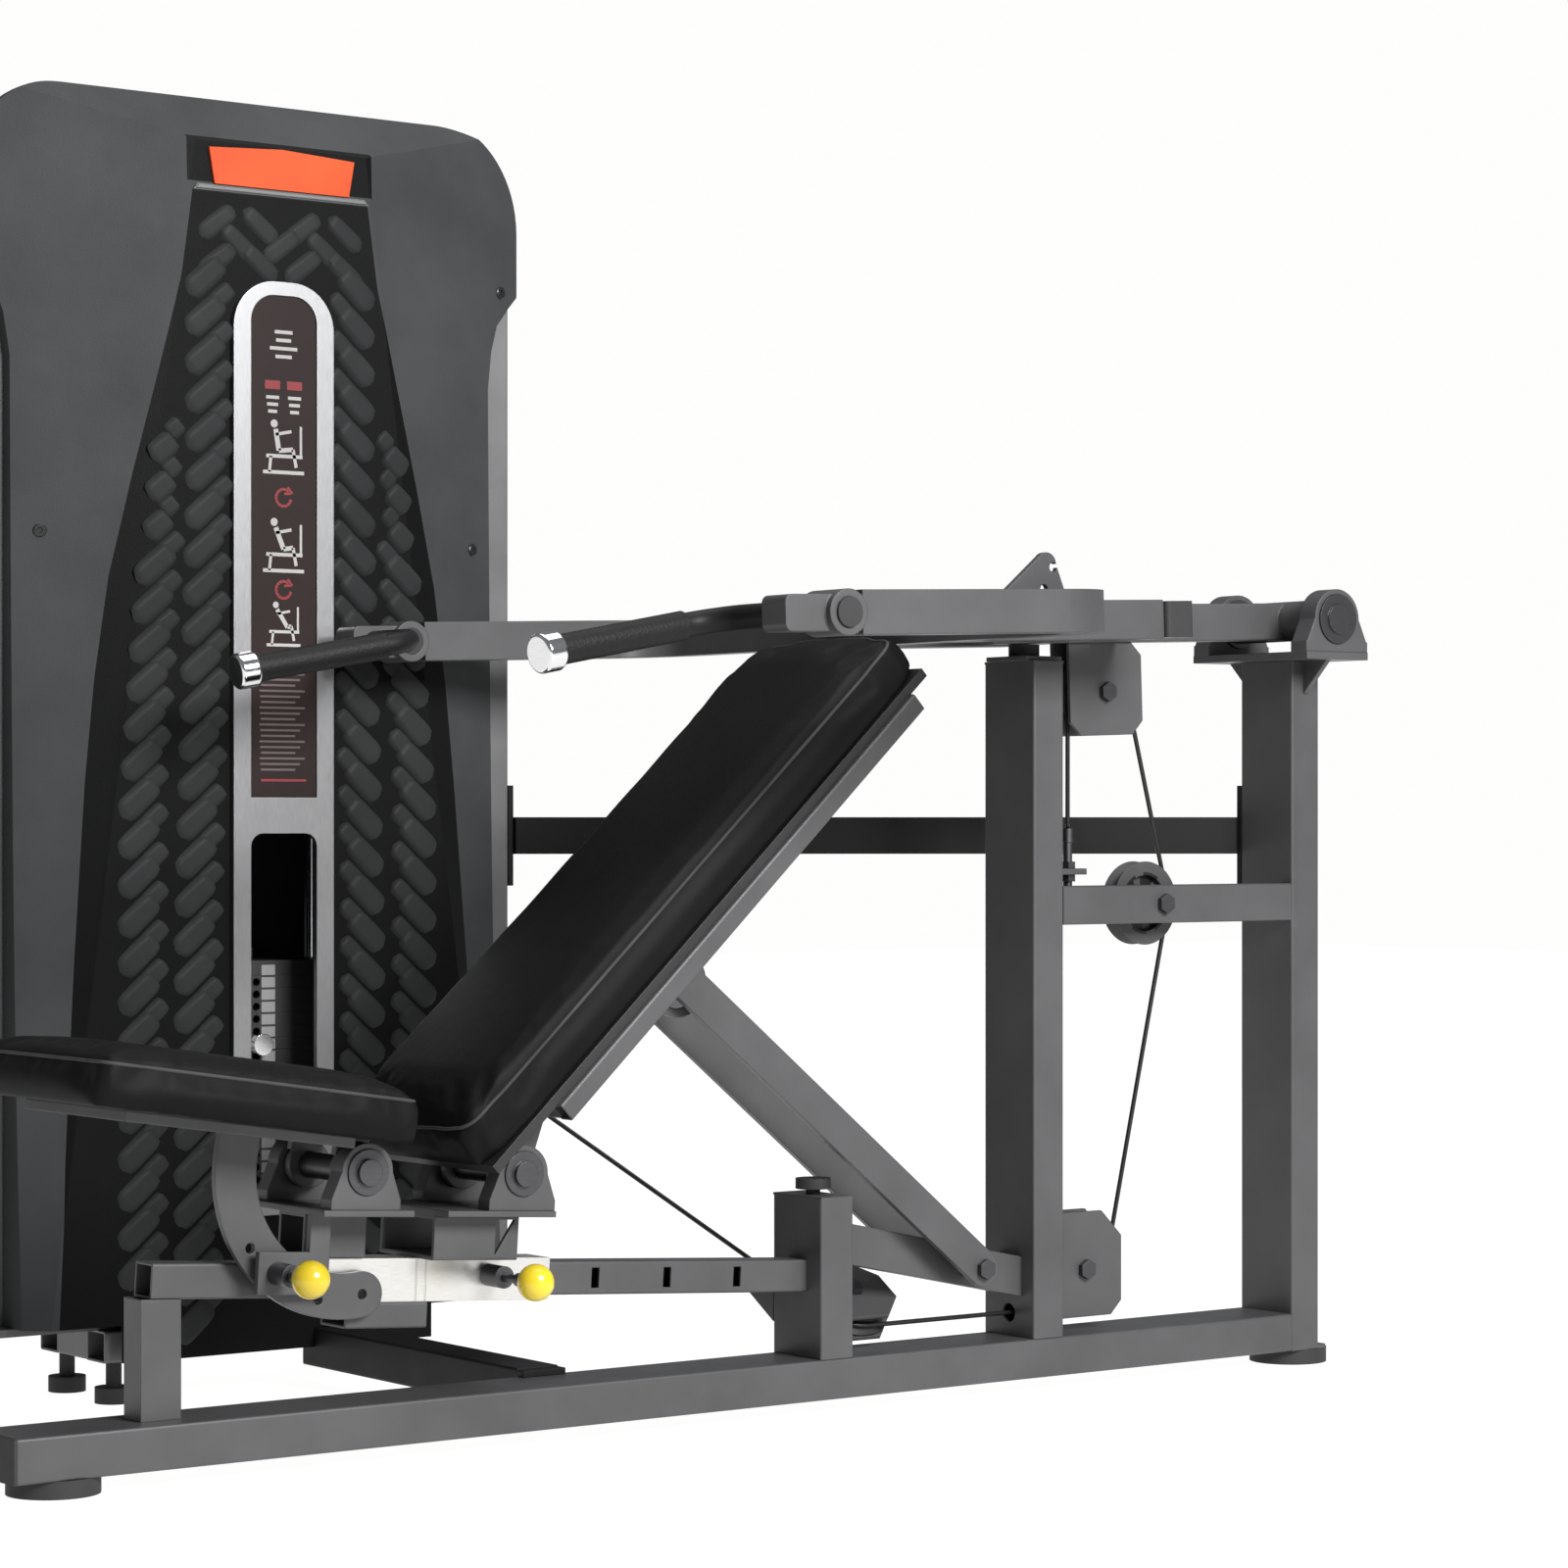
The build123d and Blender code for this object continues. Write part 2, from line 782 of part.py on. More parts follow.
def make_yoke():
    half = arm_tube / 2
    leg_start = socket_x + socket_radius - arm_wall
    corner = (yoke_cross_x, -yoke_half, pivot_z)
    path = FilletPolyline((leg_start, -yoke_half, pivot_z), corner, (yoke_cross_x, yoke_half, pivot_z),
                          (leg_start, yoke_half, pivot_z), radius=yoke_bend)
    frame = square_bar_path(path, arm_tube) - square_bar_path(path, arm_tube - 2 * arm_wall)
    pieces = []
    for sign in (-1, 1):
        y = sign * yoke_half
        socket = y_rod(socket_x, y - socket_length / 2, y + socket_length / 2, pivot_z, socket_radius)
        lug = block(lug_front_x, socket_x, y - lug_width / 2, y + lug_width / 2,
                    pivot_z - lug_height / 2, pivot_z + lug_height / 2)
        lug = fillet(lug.edges().filter_by(Axis.Y).group_by(Axis.X)[0], lug_round)
        pieces.append(socket + lug)
    frame = fused([frame] + pieces)
    for sign in (-1, 1):
        y = sign * yoke_half
        frame = frame - y_rod(socket_x, y - socket_length, y + socket_length, pivot_z, socket_bore)
    x0 = yoke_cross_x + half
    x1 = hinge_x - hinge_barrel / 2
    spine = x_tube(x0, x1, yoke_spine_y - half, yoke_spine_y + half, pivot_z - half, pivot_z + half,
                   arm_wall)
    barrel = block(x1, x1 + hinge_barrel, half + hinge_side_gap, hinge_half,
                   pivot_z - hinge_barrel / 2, pivot_z + hinge_barrel / 2)
    barrel = barrel - y_rod(hinge_x, 0, hinge_half + over, pivot_z, hinge_shaft_radius + running_gap)
    frame = fused([frame] + both_sides(spine) + both_sides(barrel))
    add("arm_yoke", arm_place(frame))

    cap = block(x1, x1 + hinge_barrel, hinge_half, hinge_half + hinge_cap,
                pivot_z - hinge_barrel / 2, pivot_z + hinge_barrel / 2)
    cap = fillet(cap.edges().filter_by(Axis.Z).group_by(Axis.Y)[-1], hinge_cap_round)
    add("yoke_caps", *[arm_place(item) for item in both_sides(cap)])

    plugs = []
    for sign in (-1, 1):
        y = sign * (yoke_half + socket_length / 2)
        body = rod((socket_x, y - sign * socket_length, pivot_z), (0, sign, 0),
                   socket_bore - socket_wall_gap, socket_length)
        head = rod((socket_x, y, pivot_z), (0, sign, 0), socket_bore, socket_plug_head)
        plugs.append(arm_place(body + head))
    add("yoke_caps", *plugs)

    angle = radians(sector_hole_angles[0])
    pin_x = hinge_x + sector_radius * cos(angle)
    pin_z = pivot_z + sector_radius * sin(angle)
    inner = half - yoke_spine_y
    tip = -(half + sector_thick + slip_gap)
    radius = sector_hole_radius - slip_gap
    collar = tip - yoke_pin_collar_gap
    pin = y_rod(pin_x, inner + pin_travel, tip, pin_z, radius)
    pin = pin + y_rod(pin_x, collar - yoke_pin_collar, collar, pin_z, yoke_pin_collar_radius)
    add("yoke_spring_pin", arm_place(pin))
    housing = y_ring(pin_x, inner, collar - yoke_pin_collar - pin_travel - slip_gap, pin_z,
                     pin_housing_radius,
                     radius + running_gap)
    add("yoke_caps", arm_place(housing))


def make_handles():
    for sign in (1, -1):
        inner_y = yoke_half - lug_width / 2
        root = (handle_root_x, sign * inner_y, pivot_z)
        bend = (handle_root_x, sign * handle_bend_y, pivot_z)
        tip = (handle_tip_x, sign * handle_tip_y, pivot_z - handle_tip_drop)
        run = Vector(*tip) - Vector(*bend)
        path = FilletPolyline(root, bend, tip, radius=handle_bend_radius)
        bar = sweep(Plane(origin=path @ 0, z_dir=path % 0) * Circle(handle_radius), path)
        add("handle_bars", arm_place(bar))
        way = run.normalized()
        start = Vector(*bend) + run * grip_start_share
        grip_length = run.length * (1 - grip_start_share)
        grip = ring(start, way, grip_radius, handle_radius + running_gap, grip_length)
        add("handle_grips", arm_place(grip))
        end = Vector(*tip)
        cap = rod(end + way * cap_overlap_gap, way, cap_radius, cap_length)
        cap = fillet(cap.edges().filter_by(GeomType.CIRCLE), cap_edge)
        add("handle_caps", arm_place(cap))


# Cable route
def route_points():
    """Tangent runs in the plane of the bench, as corner points."""
    a = arm_pulley
    g = (guide_pulley_x, guide_pulley_z)
    b = (lower_pulley_x, lower_pulley_z)
    level = lower_pulley_z - pulley_radius

    def right_run(p, q):
        dx = q[0] - p[0]
        dz = q[1] - p[1]
        long = hypot(dx, dz)
        side = (-dz / long, dx / long)
        first = (p[0] + side[0] * pulley_radius, p[1] + side[1] * pulley_radius)
        return first, (dx / long, dz / long), side

    ag, ag_way, ag_side = right_run(a, g)
    gb, gb_way, gb_side = right_run(g, b)
    guide_corner = line_crossing(ag, ag_way, gb, gb_way)
    lower_corner = line_crossing(gb, gb_way, (0, level), (1, 0))
    return ag, ag_way, ag_side, gb, gb_way, gb_side, guide_corner, lower_corner, level


(ag_start, ag_way, ag_side, gb_start, gb_way, gb_side, guide_corner, lower_corner,
 cable_level) = route_points()
floor_corner = Vector(floor_corner_x, 0, cable_level)
base_corner = Vector(tower_cable_x, stack_y, tower_entry_z)
tower_way = (base_corner - floor_corner).normalized()
level_way = Vector(tower_way.X, tower_way.Y, 0).normalized()
top_level = tower_pulley_z + pulley_radius
guide_top = (guide_pulley_x + ag_side[0] * pulley_radius, guide_pulley_z + ag_side[1] * pulley_radius)
floor_turn = radians(Vector(-1, 0, 0).get_angle(tower_way))
floor_tilt = degrees(atan2(tower_way.Z, tower_way.Y))
floor_centre_x = floor_corner_x + pulley_radius * tan(floor_turn / 2)
entry_turn = radians(tower_way.get_angle(Vector(0, 0, 1)))
base_centre = base_corner - level_way * pulley_radius + Vector(0, 0, pulley_radius * tan(entry_turn / 2))


def floor_place(shape):
    """Frame of the leaning floor pulley, with its x along the bench."""
    return Pos(0, 0, cable_level) * Rot(floor_tilt, 0, 0) * shape


def cable_piece(path):
    return sweep(Plane(origin=path @ 0, z_dir=path % 0) * Circle(cable_radius), path)


def make_cables():
    x, z = arm_pulley
    left = x - pulley_radius
    rod_top = anchor_z + anchor_plate + anchor_rod_above
    add("cable_anchor_run", rod((left, 0, rod_top), (0, 0, 1), cable_radius, z - rod_top))
    turn = degrees(atan2(ag_side[1], ag_side[0]))
    loop = CenterArc((0, 0, 0), pulley_radius, turn, 2 * 90 - turn)
    loop = Plane(origin=(x, 0, z), x_dir=(1, 0, 0), z_dir=(0, -1, 0)) * loop
    add("cable_arm_loop", cable_piece(loop))
    run = (guide_top[0] - ag_start[0], guide_top[1] - ag_start[1])
    add("cable_guide_run", rod((ag_start[0], 0, ag_start[1]), (ag_way[0], 0, ag_way[1]), cable_radius,
                               hypot(*run)))
    corners = [(guide_top[0], 0, guide_top[1]), (guide_corner[0], 0, guide_corner[1]),
               (lower_corner[0], 0, lower_corner[1]), floor_corner, base_corner,
               Vector(tower_cable_x, stack_y, top_level), Vector(tower_x, stack_y, top_level),
               Vector(tower_x, stack_y, tower_pulley_z)]
    path = FilletPolyline(*corners, radius=pulley_radius * 0.9999)
    add("cable_main_run", cable_piece(path))
    eye_top = stack_top + head_plate_thick + stem_above + eye_height
    add("cable_stack_run", rod((tower_x, stack_y, eye_top), (0, 0, 1), cable_radius,
                               tower_pulley_z - eye_top))


def pulley(centre, axis):
    """Grooved wheel with a thin web; centre is in the plane of the cable."""
    half = pulley_width / 2
    floor = pulley_radius - cable_radius - groove_gap
    lip = pulley_outer
    inner = floor - pulley_rim_depth
    points = [(pulley_bore + running_gap, -half), (pulley_hub, -half), (pulley_hub, -pulley_web / 2),
              (inner, -pulley_web / 2), (inner, -half), (lip, -half), (floor, -cable_radius / 2),
              (floor, cable_radius / 2), (lip, half), (inner, half), (inner, pulley_web / 2),
              (pulley_hub, pulley_web / 2), (pulley_hub, half), (pulley_bore + running_gap, half)]
    outline = Polyline(*[(r, 0, h) for r, h in points], close=True)
    wheel = revolve(make_face(outline), Axis.Z)
    return Plane(origin=centre, z_dir=axis) * wheel


def bracket_outline(x, z, left, right, low, high, cut, slant):
    return [(x - left, z + high), (x + right - slant, z + high), (x + right, z + high - slant),
            (x + right, z - low + cut), (x + right - cut, z - low), (x - left + cut, z - low),
            (x - left, z - low + cut)]


def hex_head(start, direction, radius, length):
    face = Plane(origin=start, z_dir=direction) * RegularPolygon(radius, bolt_sides)
    return extrude(face, length, dir=direction)


def pulley_bolt(centre, axis, reach_low, reach_high):
    way = Vector(*axis).normalized()
    middle = Vector(*centre)
    body = rod(middle - way * reach_low, way, pulley_bore, reach_low + reach_high)
    low = hex_head(middle - way * (reach_low + bolt_head), way, bolt_head_radius, bolt_head)
    high = hex_head(middle + way * reach_high, way, bolt_head_radius, bolt_head)
    return body + low + high


def make_pulleys():
    y_axis = (0, 1, 0)
    x = rear_x - arm_pulley_reach
    z = pivot_z - arm_pulley_drop
    add("arm_pulley", arm_place(pulley((x, 0, z), y_axis)))
    top = arm_pulley_drop - arm_tube / 2
    outline = bracket_outline(x, z, bracket_half, bracket_half, bracket_under, top, bracket_cut,
                              bracket_slant / 2)
    plates = []
    for y in (-bracket_out, pulley_side):
        plate = side_plate(outline, y, y + bracket_plate)
        plates.append(arm_place(plate - y_rod(x, y - over, y + bracket_plate + over, z,
                                              pulley_bore + running_gap)))
    add("arm_pulley_bracket", *plates)
    add("arm_shafts", arm_place(pulley_bolt((x, 0, z), y_axis, bracket_out, bracket_out)))

    guide = (guide_pulley_x, guide_pulley_y, guide_pulley_z)
    add("guide_pulley", pulley(guide, y_axis))
    spacer_gap = half_width - beam_depth - pulley_width / 2
    lower = (lower_pulley_x, 0, lower_pulley_z)
    add("lower_pulley", pulley(lower, y_axis))
    face = mid_x + half_depth
    outline = bracket_outline(lower_pulley_x, lower_pulley_z, lower_pulley_x - face, bracket_half,
                              bracket_half, bracket_above, bracket_cut, bracket_slant)
    outline = outline[:-2] + [(face, lower_pulley_z - bracket_half)]
    plates = []
    for y in (-bracket_out, pulley_side):
        plate = side_plate(outline, y, y + bracket_plate)
        plates.append(plate - y_rod(lower_pulley_x, y - over, y + bracket_plate + over, lower_pulley_z,
                                    pulley_bore + running_gap))
    add("pulley_brackets", *plates)

    up = (0, 0, 1)
    floor_centre = (floor_centre_x, pulley_radius, 0)
    add("floor_pulley", floor_place(pulley(floor_centre, up)))
    x0 = post_face
    x1 = floor_centre_x + pulley_outer + bracket_side_gap
    y0 = pulley_radius - pulley_outer
    y1 = pulley_radius + pulley_outer + bracket_side_gap
    outline = [(x0, y0), (x1 - bracket_slant, y0), (x1, y0 + bracket_slant),
               (x1, y1 - bracket_slant), (x1 - bracket_slant, y1), (x0, y1)]
    plates = []
    for z0 in (-bracket_out, pulley_side):
        plate = flat_plate(outline, z0, z0 + bracket_plate)
        hole = rod((floor_centre[0], floor_centre[1], z0 - over), up, pulley_bore + running_gap,
                   bracket_plate + 2 * over)
        plates.append(plate - hole)
    web = block(x0, x0 + bracket_plate, y0, y1, -pulley_side, pulley_side)
    whole = floor_place(fused(plates + [web]))
    room = block(x0 - over, post_x + half_depth + bracket_side_gap, -frame_width, half_width, 0,
                 post_height)
    add("pulley_brackets", whole - room)

    side = Vector(-level_way.Y, level_way.X, 0)
    base = (base_centre.X, base_centre.Y, base_centre.Z)
    base_axis = (side.X, side.Y, side.Z)
    add("tower_base_pulley", pulley(base, base_axis))
    plates = []
    frame = Plane(origin=(base_centre.X, base_centre.Y, 0), x_dir=level_way, z_dir=-side)
    low = base_centre.Z - tower_bracket_half
    high = base_centre.Z + tower_bracket_half
    behind = block(tower_x, tower_x + tower_frame_half, entry_bar_y[0], tower_rear_y, low - over,
                   high + over)
    for start in (-bracket_out, pulley_side):
        outline = Polyline((-tower_bracket_half, low), (frame_width, low), (frame_width, high),
                           (-tower_bracket_half, high), close=True)
        shape = frame.offset(start) * make_face(outline)
        plate = extrude(shape, bracket_plate, dir=-side)
        hole = rod(base_centre + side * out_length, -side, pulley_bore + running_gap, 2 * out_length)
        plates.append(plate - hole - behind)
    add("pulley_brackets", *plates)

    tower_wheels = []
    for x in (tower_cable_x - pulley_radius, tower_x + pulley_radius):
        tower_wheels.append(x)
    add("tower_top_pulley_outer", pulley((tower_wheels[0], stack_y, tower_pulley_z), y_axis))
    add("tower_top_pulley_inner", pulley((tower_wheels[1], stack_y, tower_pulley_z), y_axis))

    bolts = [pulley_bolt(guide, y_axis, half_width, pulley_width / 2 + slip_gap),
             pulley_bolt(lower, y_axis, bracket_out, bracket_out),
             floor_place(pulley_bolt(floor_centre, up, bracket_out, bracket_out)),
             pulley_bolt(base, base_axis, bracket_out, bracket_out)]
    reach = tower_tube / 2
    for x in tower_wheels:
        bolts.append(pulley_bolt((x, stack_y, tower_pulley_z), y_axis, reach, reach))
    add("axle_bolts", *bolts)
    near = beam_depth - half_width
    spacers = [y_ring(guide_pulley_x, near, -pulley_width / 2 - slip_gap, guide_pulley_z,
                      pulley_hub, pulley_bore + running_gap)]
    for x in tower_wheels:
        inner = tower_tube / 2 - tower_beam_depth
        side = pulley_width / 2 + slip_gap
        for y0, y1 in ((stack_y - inner, stack_y - side), (stack_y + side, stack_y + inner)):
            spacers.append(y_ring(x, y0, y1, tower_pulley_z, pulley_hub, pulley_bore + running_gap))
    add("axle_bolts", *spacers)


def make_anchor():
    face = mid_x + half_depth
    x = arm_pulley[0] - pulley_radius
    arm = block(face, x + anchor_reach, -anchor_half_width, anchor_half_width, anchor_z,
                anchor_z + anchor_plate)
    flange = block(face, face + anchor_plate, -anchor_half_width, anchor_half_width,
                   anchor_z - anchor_flange / 2, anchor_z + anchor_flange / 2)
    hole = rod((x, 0, anchor_z - over), (0, 0, 1), anchor_rod_radius + running_gap,
               anchor_plate + 2 * over)
    add("pulley_brackets", arm + flange - hole)
    low = anchor_z - anchor_rod_below
    stud = rod((x, 0, low), (0, 0, 1), anchor_rod_radius,
               anchor_rod_below + anchor_plate + anchor_rod_above)
    under = hex_head((x, 0, anchor_z - anchor_nut), (0, 0, 1), anchor_nut_radius, anchor_nut)
    above = hex_head((x, 0, anchor_z + anchor_plate), (0, 0, 1), anchor_nut_radius, anchor_nut)
    ferrule_z = anchor_z + anchor_plate + anchor_rod_above - 2 * anchor_nut
    ferrule = rod((x, 0, ferrule_z), (0, 0, 1), anchor_nut_radius - cable_radius, 2 * anchor_nut)
    add("axle_bolts", fused([stud, under, above, ferrule]))


# Slide and carriage
def make_slide():
    half = slide_tube / 2
    tube = x_tube(-slide_length, slide_tube, -half, half, -half, half, slide_wall)
    for x in slot_xs:
        centre = (x - post_face) / cos(radians(slide_tilt))
        tube = tube - block(centre - slot_width / 2, centre + slot_width / 2, -half - over, half + over,
                            -slot_height / 2, slot_height / 2)
    tube = slide_place(tube) - block(post_face, post_x + frame_width, -half - over, half + over, rail_top,
                                     post_height)
    add("slide_tube", tube)
    x0 = slide_support_x - slide_support_width / 2
    x1 = slide_support_x + slide_support_width / 2
    tops = []
    lean = tan(radians(slide_tilt))
    for x in (x0, x1):
        tops.append(slide_post_z + (post_face - x) * lean - half / cos(radians(slide_tilt)))
    support = side_plate([(x0, rail_top), (x1, rail_top), (x1, tops[1]), (x0, tops[0])], -half, half)
    core = side_plate([(x0 + frame_wall, rail_top - over), (x1 - frame_wall, rail_top - over),
                       (x1 - frame_wall, tops[1] + over), (x0 + frame_wall, tops[0] + over)],
                      frame_wall - half, half - frame_wall)
    add("slide_posts", support - core)


def make_carriage():
    half = sleeve_outer / 2
    gap = slide_tube / 2 + sleeve_gap
    sleeve = block(sleeve_front, sleeve_rear, -half, half, -half, half)
    sleeve = sleeve - block(sleeve_front - over, sleeve_rear + over, -gap, gap, -gap, gap)
    sleeve = sleeve - y_rod(slide_pin_x, -half - over, -gap + over, slide_pin_z, pin_radius + slip_gap)
    for x in sleeve_line_xs:
        sleeve = sleeve - block(x, x + sleeve_line_width, -half - over, sleeve_line_depth - half, -half,
                                half)
    add("carriage_sleeve", slide_place(sleeve))

    plate_top = hinge_height - bench_shaft_height
    plate_low = plate_top - stand_plate
    x0, x1 = rear_stand
    stand = x_tube(x0, x1, -rear_stand_half, rear_stand_half, half, plate_low, stand_wall)
    window = side_plate([(x1 - stand_window - stand_wall, half + stand_wall),
                         (x1 - stand_wall, plate_low - stand_wall),
                         (x1 - stand_window - stand_wall, plate_low - stand_wall)],
                        -rear_stand_half - over, over - rear_stand_half + stand_wall)
    table = block(rear_stand_plate[0], rear_stand_plate[1], -stand_plate_half, stand_plate_half,
                  plate_low, plate_top)
    add("carriage_stands", slide_place(stand - window + table))
    x0, x1 = front_stand
    stand = x_tube(x0, x1, -front_stand_half, front_stand_half, half, plate_low, stand_wall)
    table = block(front_stand_plate[0], front_stand_plate[1], -stand_plate_half, stand_plate_half,
                  plate_low, plate_top)
    add("carriage_stands", slide_place(stand + table))
    low = -half - stop_block_height
    add("carriage_stands",
        slide_place(x_tube(stop_block[0], stop_block[1], -stop_block_half, stop_block_half,
                                                  low, -half, frame_wall)))
    housings = []
    inserts = []
    for x in (back_hinge_x, seat_hinge_x):
        for y in (-bench_block_y, bench_block_y):
            housings.append(slide_place(bearing_block(x, y, hinge_height, bench_shaft_height,
                                                      bench_block_radius,
                                                      bench_block_width, bench_block_half, bench_block_base,
                                                      bench_insert_radius)))
            reach = bench_block_width / 2 + bench_insert_over
            inserts.append(slide_place(y_ring(x, y - reach, y + reach, hinge_height, bench_insert_radius,
                                              bench_shaft_radius + running_gap)))
    add("bench_housings", *housings)
    add("bench_shafts", *inserts)


def spring_pin(x, z, seat_y, tip_y, reach, place, node, housing_list):
    """Pull pin along -Y: housing on seat_y, tip at tip_y, ball knob outside."""
    housing = y_ring(x, seat_y - pin_housing_length, seat_y, z, pin_housing_radius,
                     pin_radius + running_gap)
    housing_list.append(place(housing))
    ball_y = seat_y - reach
    shaft_end = ball_y + pin_ball_radius - pin_ball_sink
    neck_end = shaft_end + pin_neck_length
    shaft = y_rod(x, shaft_end, tip_y, z, pin_radius)
    neck = y_rod(x, shaft_end, neck_end, z, pin_neck_radius)
    ball = Pos(x, ball_y, z) * Sphere(pin_ball_radius)
    add(node, place(shaft + neck - ball))
    add(node, place(ball))


def make_pins():
    half = sleeve_outer / 2
    housings = []
    tip = -slide_tube / 2 - slip_gap
    spring_pin(slide_pin_x, slide_pin_z, -half, tip, pin_reach, slide_place, "slide_pin", housings)
    angle = radians(seat_pin_angle + slide_tilt)
    pin_x = seat_hinge_x + seat_sector_pin_radius * cos(angle)
    pin_z = hinge_height + seat_sector_pin_radius * sin(angle)
    tip = -(seat_sector_y + seat_sector_thick + slip_gap)
    spring_pin(pin_x, pin_z, -seat_pin_plate_y, tip, seat_pin_reach, slide_place, "seat_pin", housings)
    add("bench_shafts", *housings)

    y_in = seat_pin_plate_y - seat_pin_plate
    plate = block(pin_x - seat_pin_plate_rise, front_stand_plate[0] + stand_window, -seat_pin_plate_y,
                  -y_in,
                  pin_z - seat_pin_plate_rise, pin_z + seat_pin_plate_rise)
    riser = block(front_stand_plate[0], front_stand_plate[0] + stand_window, -seat_pin_plate_y, -y_in,
                  pin_z + seat_pin_plate_rise, hinge_height - bench_shaft_height - stand_plate)
    plate = plate + riser
    plate = plate - y_rod(pin_x, -seat_pin_plate_y - over, -y_in + over, pin_z, pin_radius + slip_gap)
    add("carriage_stands", slide_place(plate))


def pad_section(half, low, height, crown, draw):
    """Section across a cushion: flat below, bulging sides, crowned top."""
    top = low + height
    waist = half - draw
    shoulder = half - draw / 2
    left = ThreePointArc((0, -waist, low), (0, -half, low + height / 2), (0, -shoulder, top - crown))
    crest = ThreePointArc((0, -shoulder, top - crown), (0, 0, top), (0, shoulder, top - crown))
    right = ThreePointArc((0, shoulder, top - crown), (0, half, low + height / 2), (0, waist, low))
    sole = Line((0, waist, low), (0, -waist, low))
    return face_of([left, crest, right, sole])


def cushion(x0, x1, half, low, height, crown, draw, end_draw):
    """Cushion that is drawn in towards both ends."""
    stations = ((x0, end_draw, end_draw), (x0 + end_draw, end_draw / 4, end_draw / 4),
                (x0 + height, 0, 0), ((x0 + x1) / 2, 0, 0), (x1 - height, 0, 0),
                (x1 - end_draw, end_draw / 4, end_draw / 4), (x1, end_draw, end_draw))
    faces = []
    for x, inset, drop in stations:
        faces.append(Pos(x, 0, 0) * pad_section(half - inset, low, height - drop, crown, draw))
    return loft(faces, ruled=True)


def make_backrest():
    rail = x_tube(back_frame_start, back_frame_end, back_half - back_frame_rail, back_half,
                  back_frame_low, back_frame_high, beam_wall)
    inner = back_half - back_frame_rail
    pieces = both_sides(rail)
    for u in (back_frame_start, back_lug_u - back_cross / 2, back_frame_end - back_cross):
        pieces.append(y_tube(u, u + back_cross, -inner, inner, back_frame_low, back_frame_high,
                             beam_wall))
    frame = fused(pieces)
    lug = y_ring(0, hinge_lug_y, hinge_lug_y + hinge_lug_thick, 0, hinge_lug_radius,
                 bench_shaft_radius + running_gap)
    web = side_plate([(hinge_lug_radius * 0.8, -hinge_lug_radius * 0.6),
                      (back_frame_start + back_cross, back_frame_low),
                      (back_frame_start, back_frame_low), (0, hinge_lug_radius * 0.9)],
                     hinge_lug_y, hinge_lug_y + hinge_lug_thick)
    web = web - y_rod(0, hinge_lug_y - over, hinge_lug_y + hinge_lug_thick + over, 0,
                      bench_shaft_radius + running_gap)
    saddle_inner = strut_tie_radius + back_lug_slack
    saddle_outer = saddle_inner + back_lug_ring
    y1 = back_lug_y + back_lug_thick
    saddle = y_rod(back_lug_u, back_lug_y, y1, back_lug_n, saddle_outer)
    saddle = saddle + block(back_lug_u - back_cross / 2, back_lug_u + back_cross / 2, back_lug_y, y1,
                            back_lug_n, back_frame_low)
    saddle = saddle - y_rod(back_lug_u, back_lug_y - over, y1 + over, back_lug_n, saddle_inner)
    saddle = saddle - block(back_lug_u - saddle_outer, back_lug_u + saddle_outer, back_lug_y - over,
                            y1 + over,
                            back_frame_low, back_frame_high)
    frame = fused([frame] + both_sides(lug) + both_sides(web) + both_sides(saddle))
    add("backrest_frame", back_place(frame))
    add("bench_shafts", slide_place(y_rod(back_hinge_x, -bench_shaft_half, bench_shaft_half, hinge_height,
                                            bench_shaft_radius)))
    wide = back_half - back_board_inset
    board = block(back_bottom + back_board_inset, back_top - back_board_inset, -wide, wide,
                  back_frame_high, back_frame_high + back_board)
    add("backrest_cushion", back_place(board))
    pad = cushion(back_bottom, back_top, back_half, back_frame_high + back_board, back_pad,
                  back_crown, back_draw, back_end_draw)
    add("backrest_cushion", back_place(pad))


def make_struts():
    sx, sz = back_point(back_lug_u, back_lug_n)
    run = (sx - strut_pivot_x, sz - strut_pivot_z)
    long = hypot(*run)
    angle = degrees(atan2(run[1], run[0]))
    y0 = strut_y - strut_thick / 2
    y1 = strut_y + strut_thick / 2
    half = strut_width / 2
    bar = block(0, long + strut_over, y0, y1, -half, half) + y_rod(0, y0, y1, 0, half)
    bar = bar - y_rod(0, y0 - over, y1 + over, 0, strut_pin_radius + running_gap)
    tie = y_rod(long, -y0, y0, 0, strut_tie_radius)
    whole = fused(both_sides(bar) + [tie])
    add("backrest_strut", Pos(strut_pivot_x, 0, strut_pivot_z) * Rot(0, -angle, 0) * whole)
    reach = y1 + running_gap
    bolt = y_rod(strut_pivot_x, -reach, reach, strut_pivot_z, strut_pin_radius)
    head = hex_head((strut_pivot_x, reach, strut_pivot_z), (0, 1, 0), bolt_head_radius, bolt_head)
    add("axle_bolts", fused([bolt] + both_sides(head)))
    spacer = y_ring(strut_pivot_x, link_width / 2, y0 - slip_gap, strut_pivot_z, strut_spacer_radius,
                    strut_pin_radius + running_gap)
    add("axle_bolts", *both_sides(spacer))


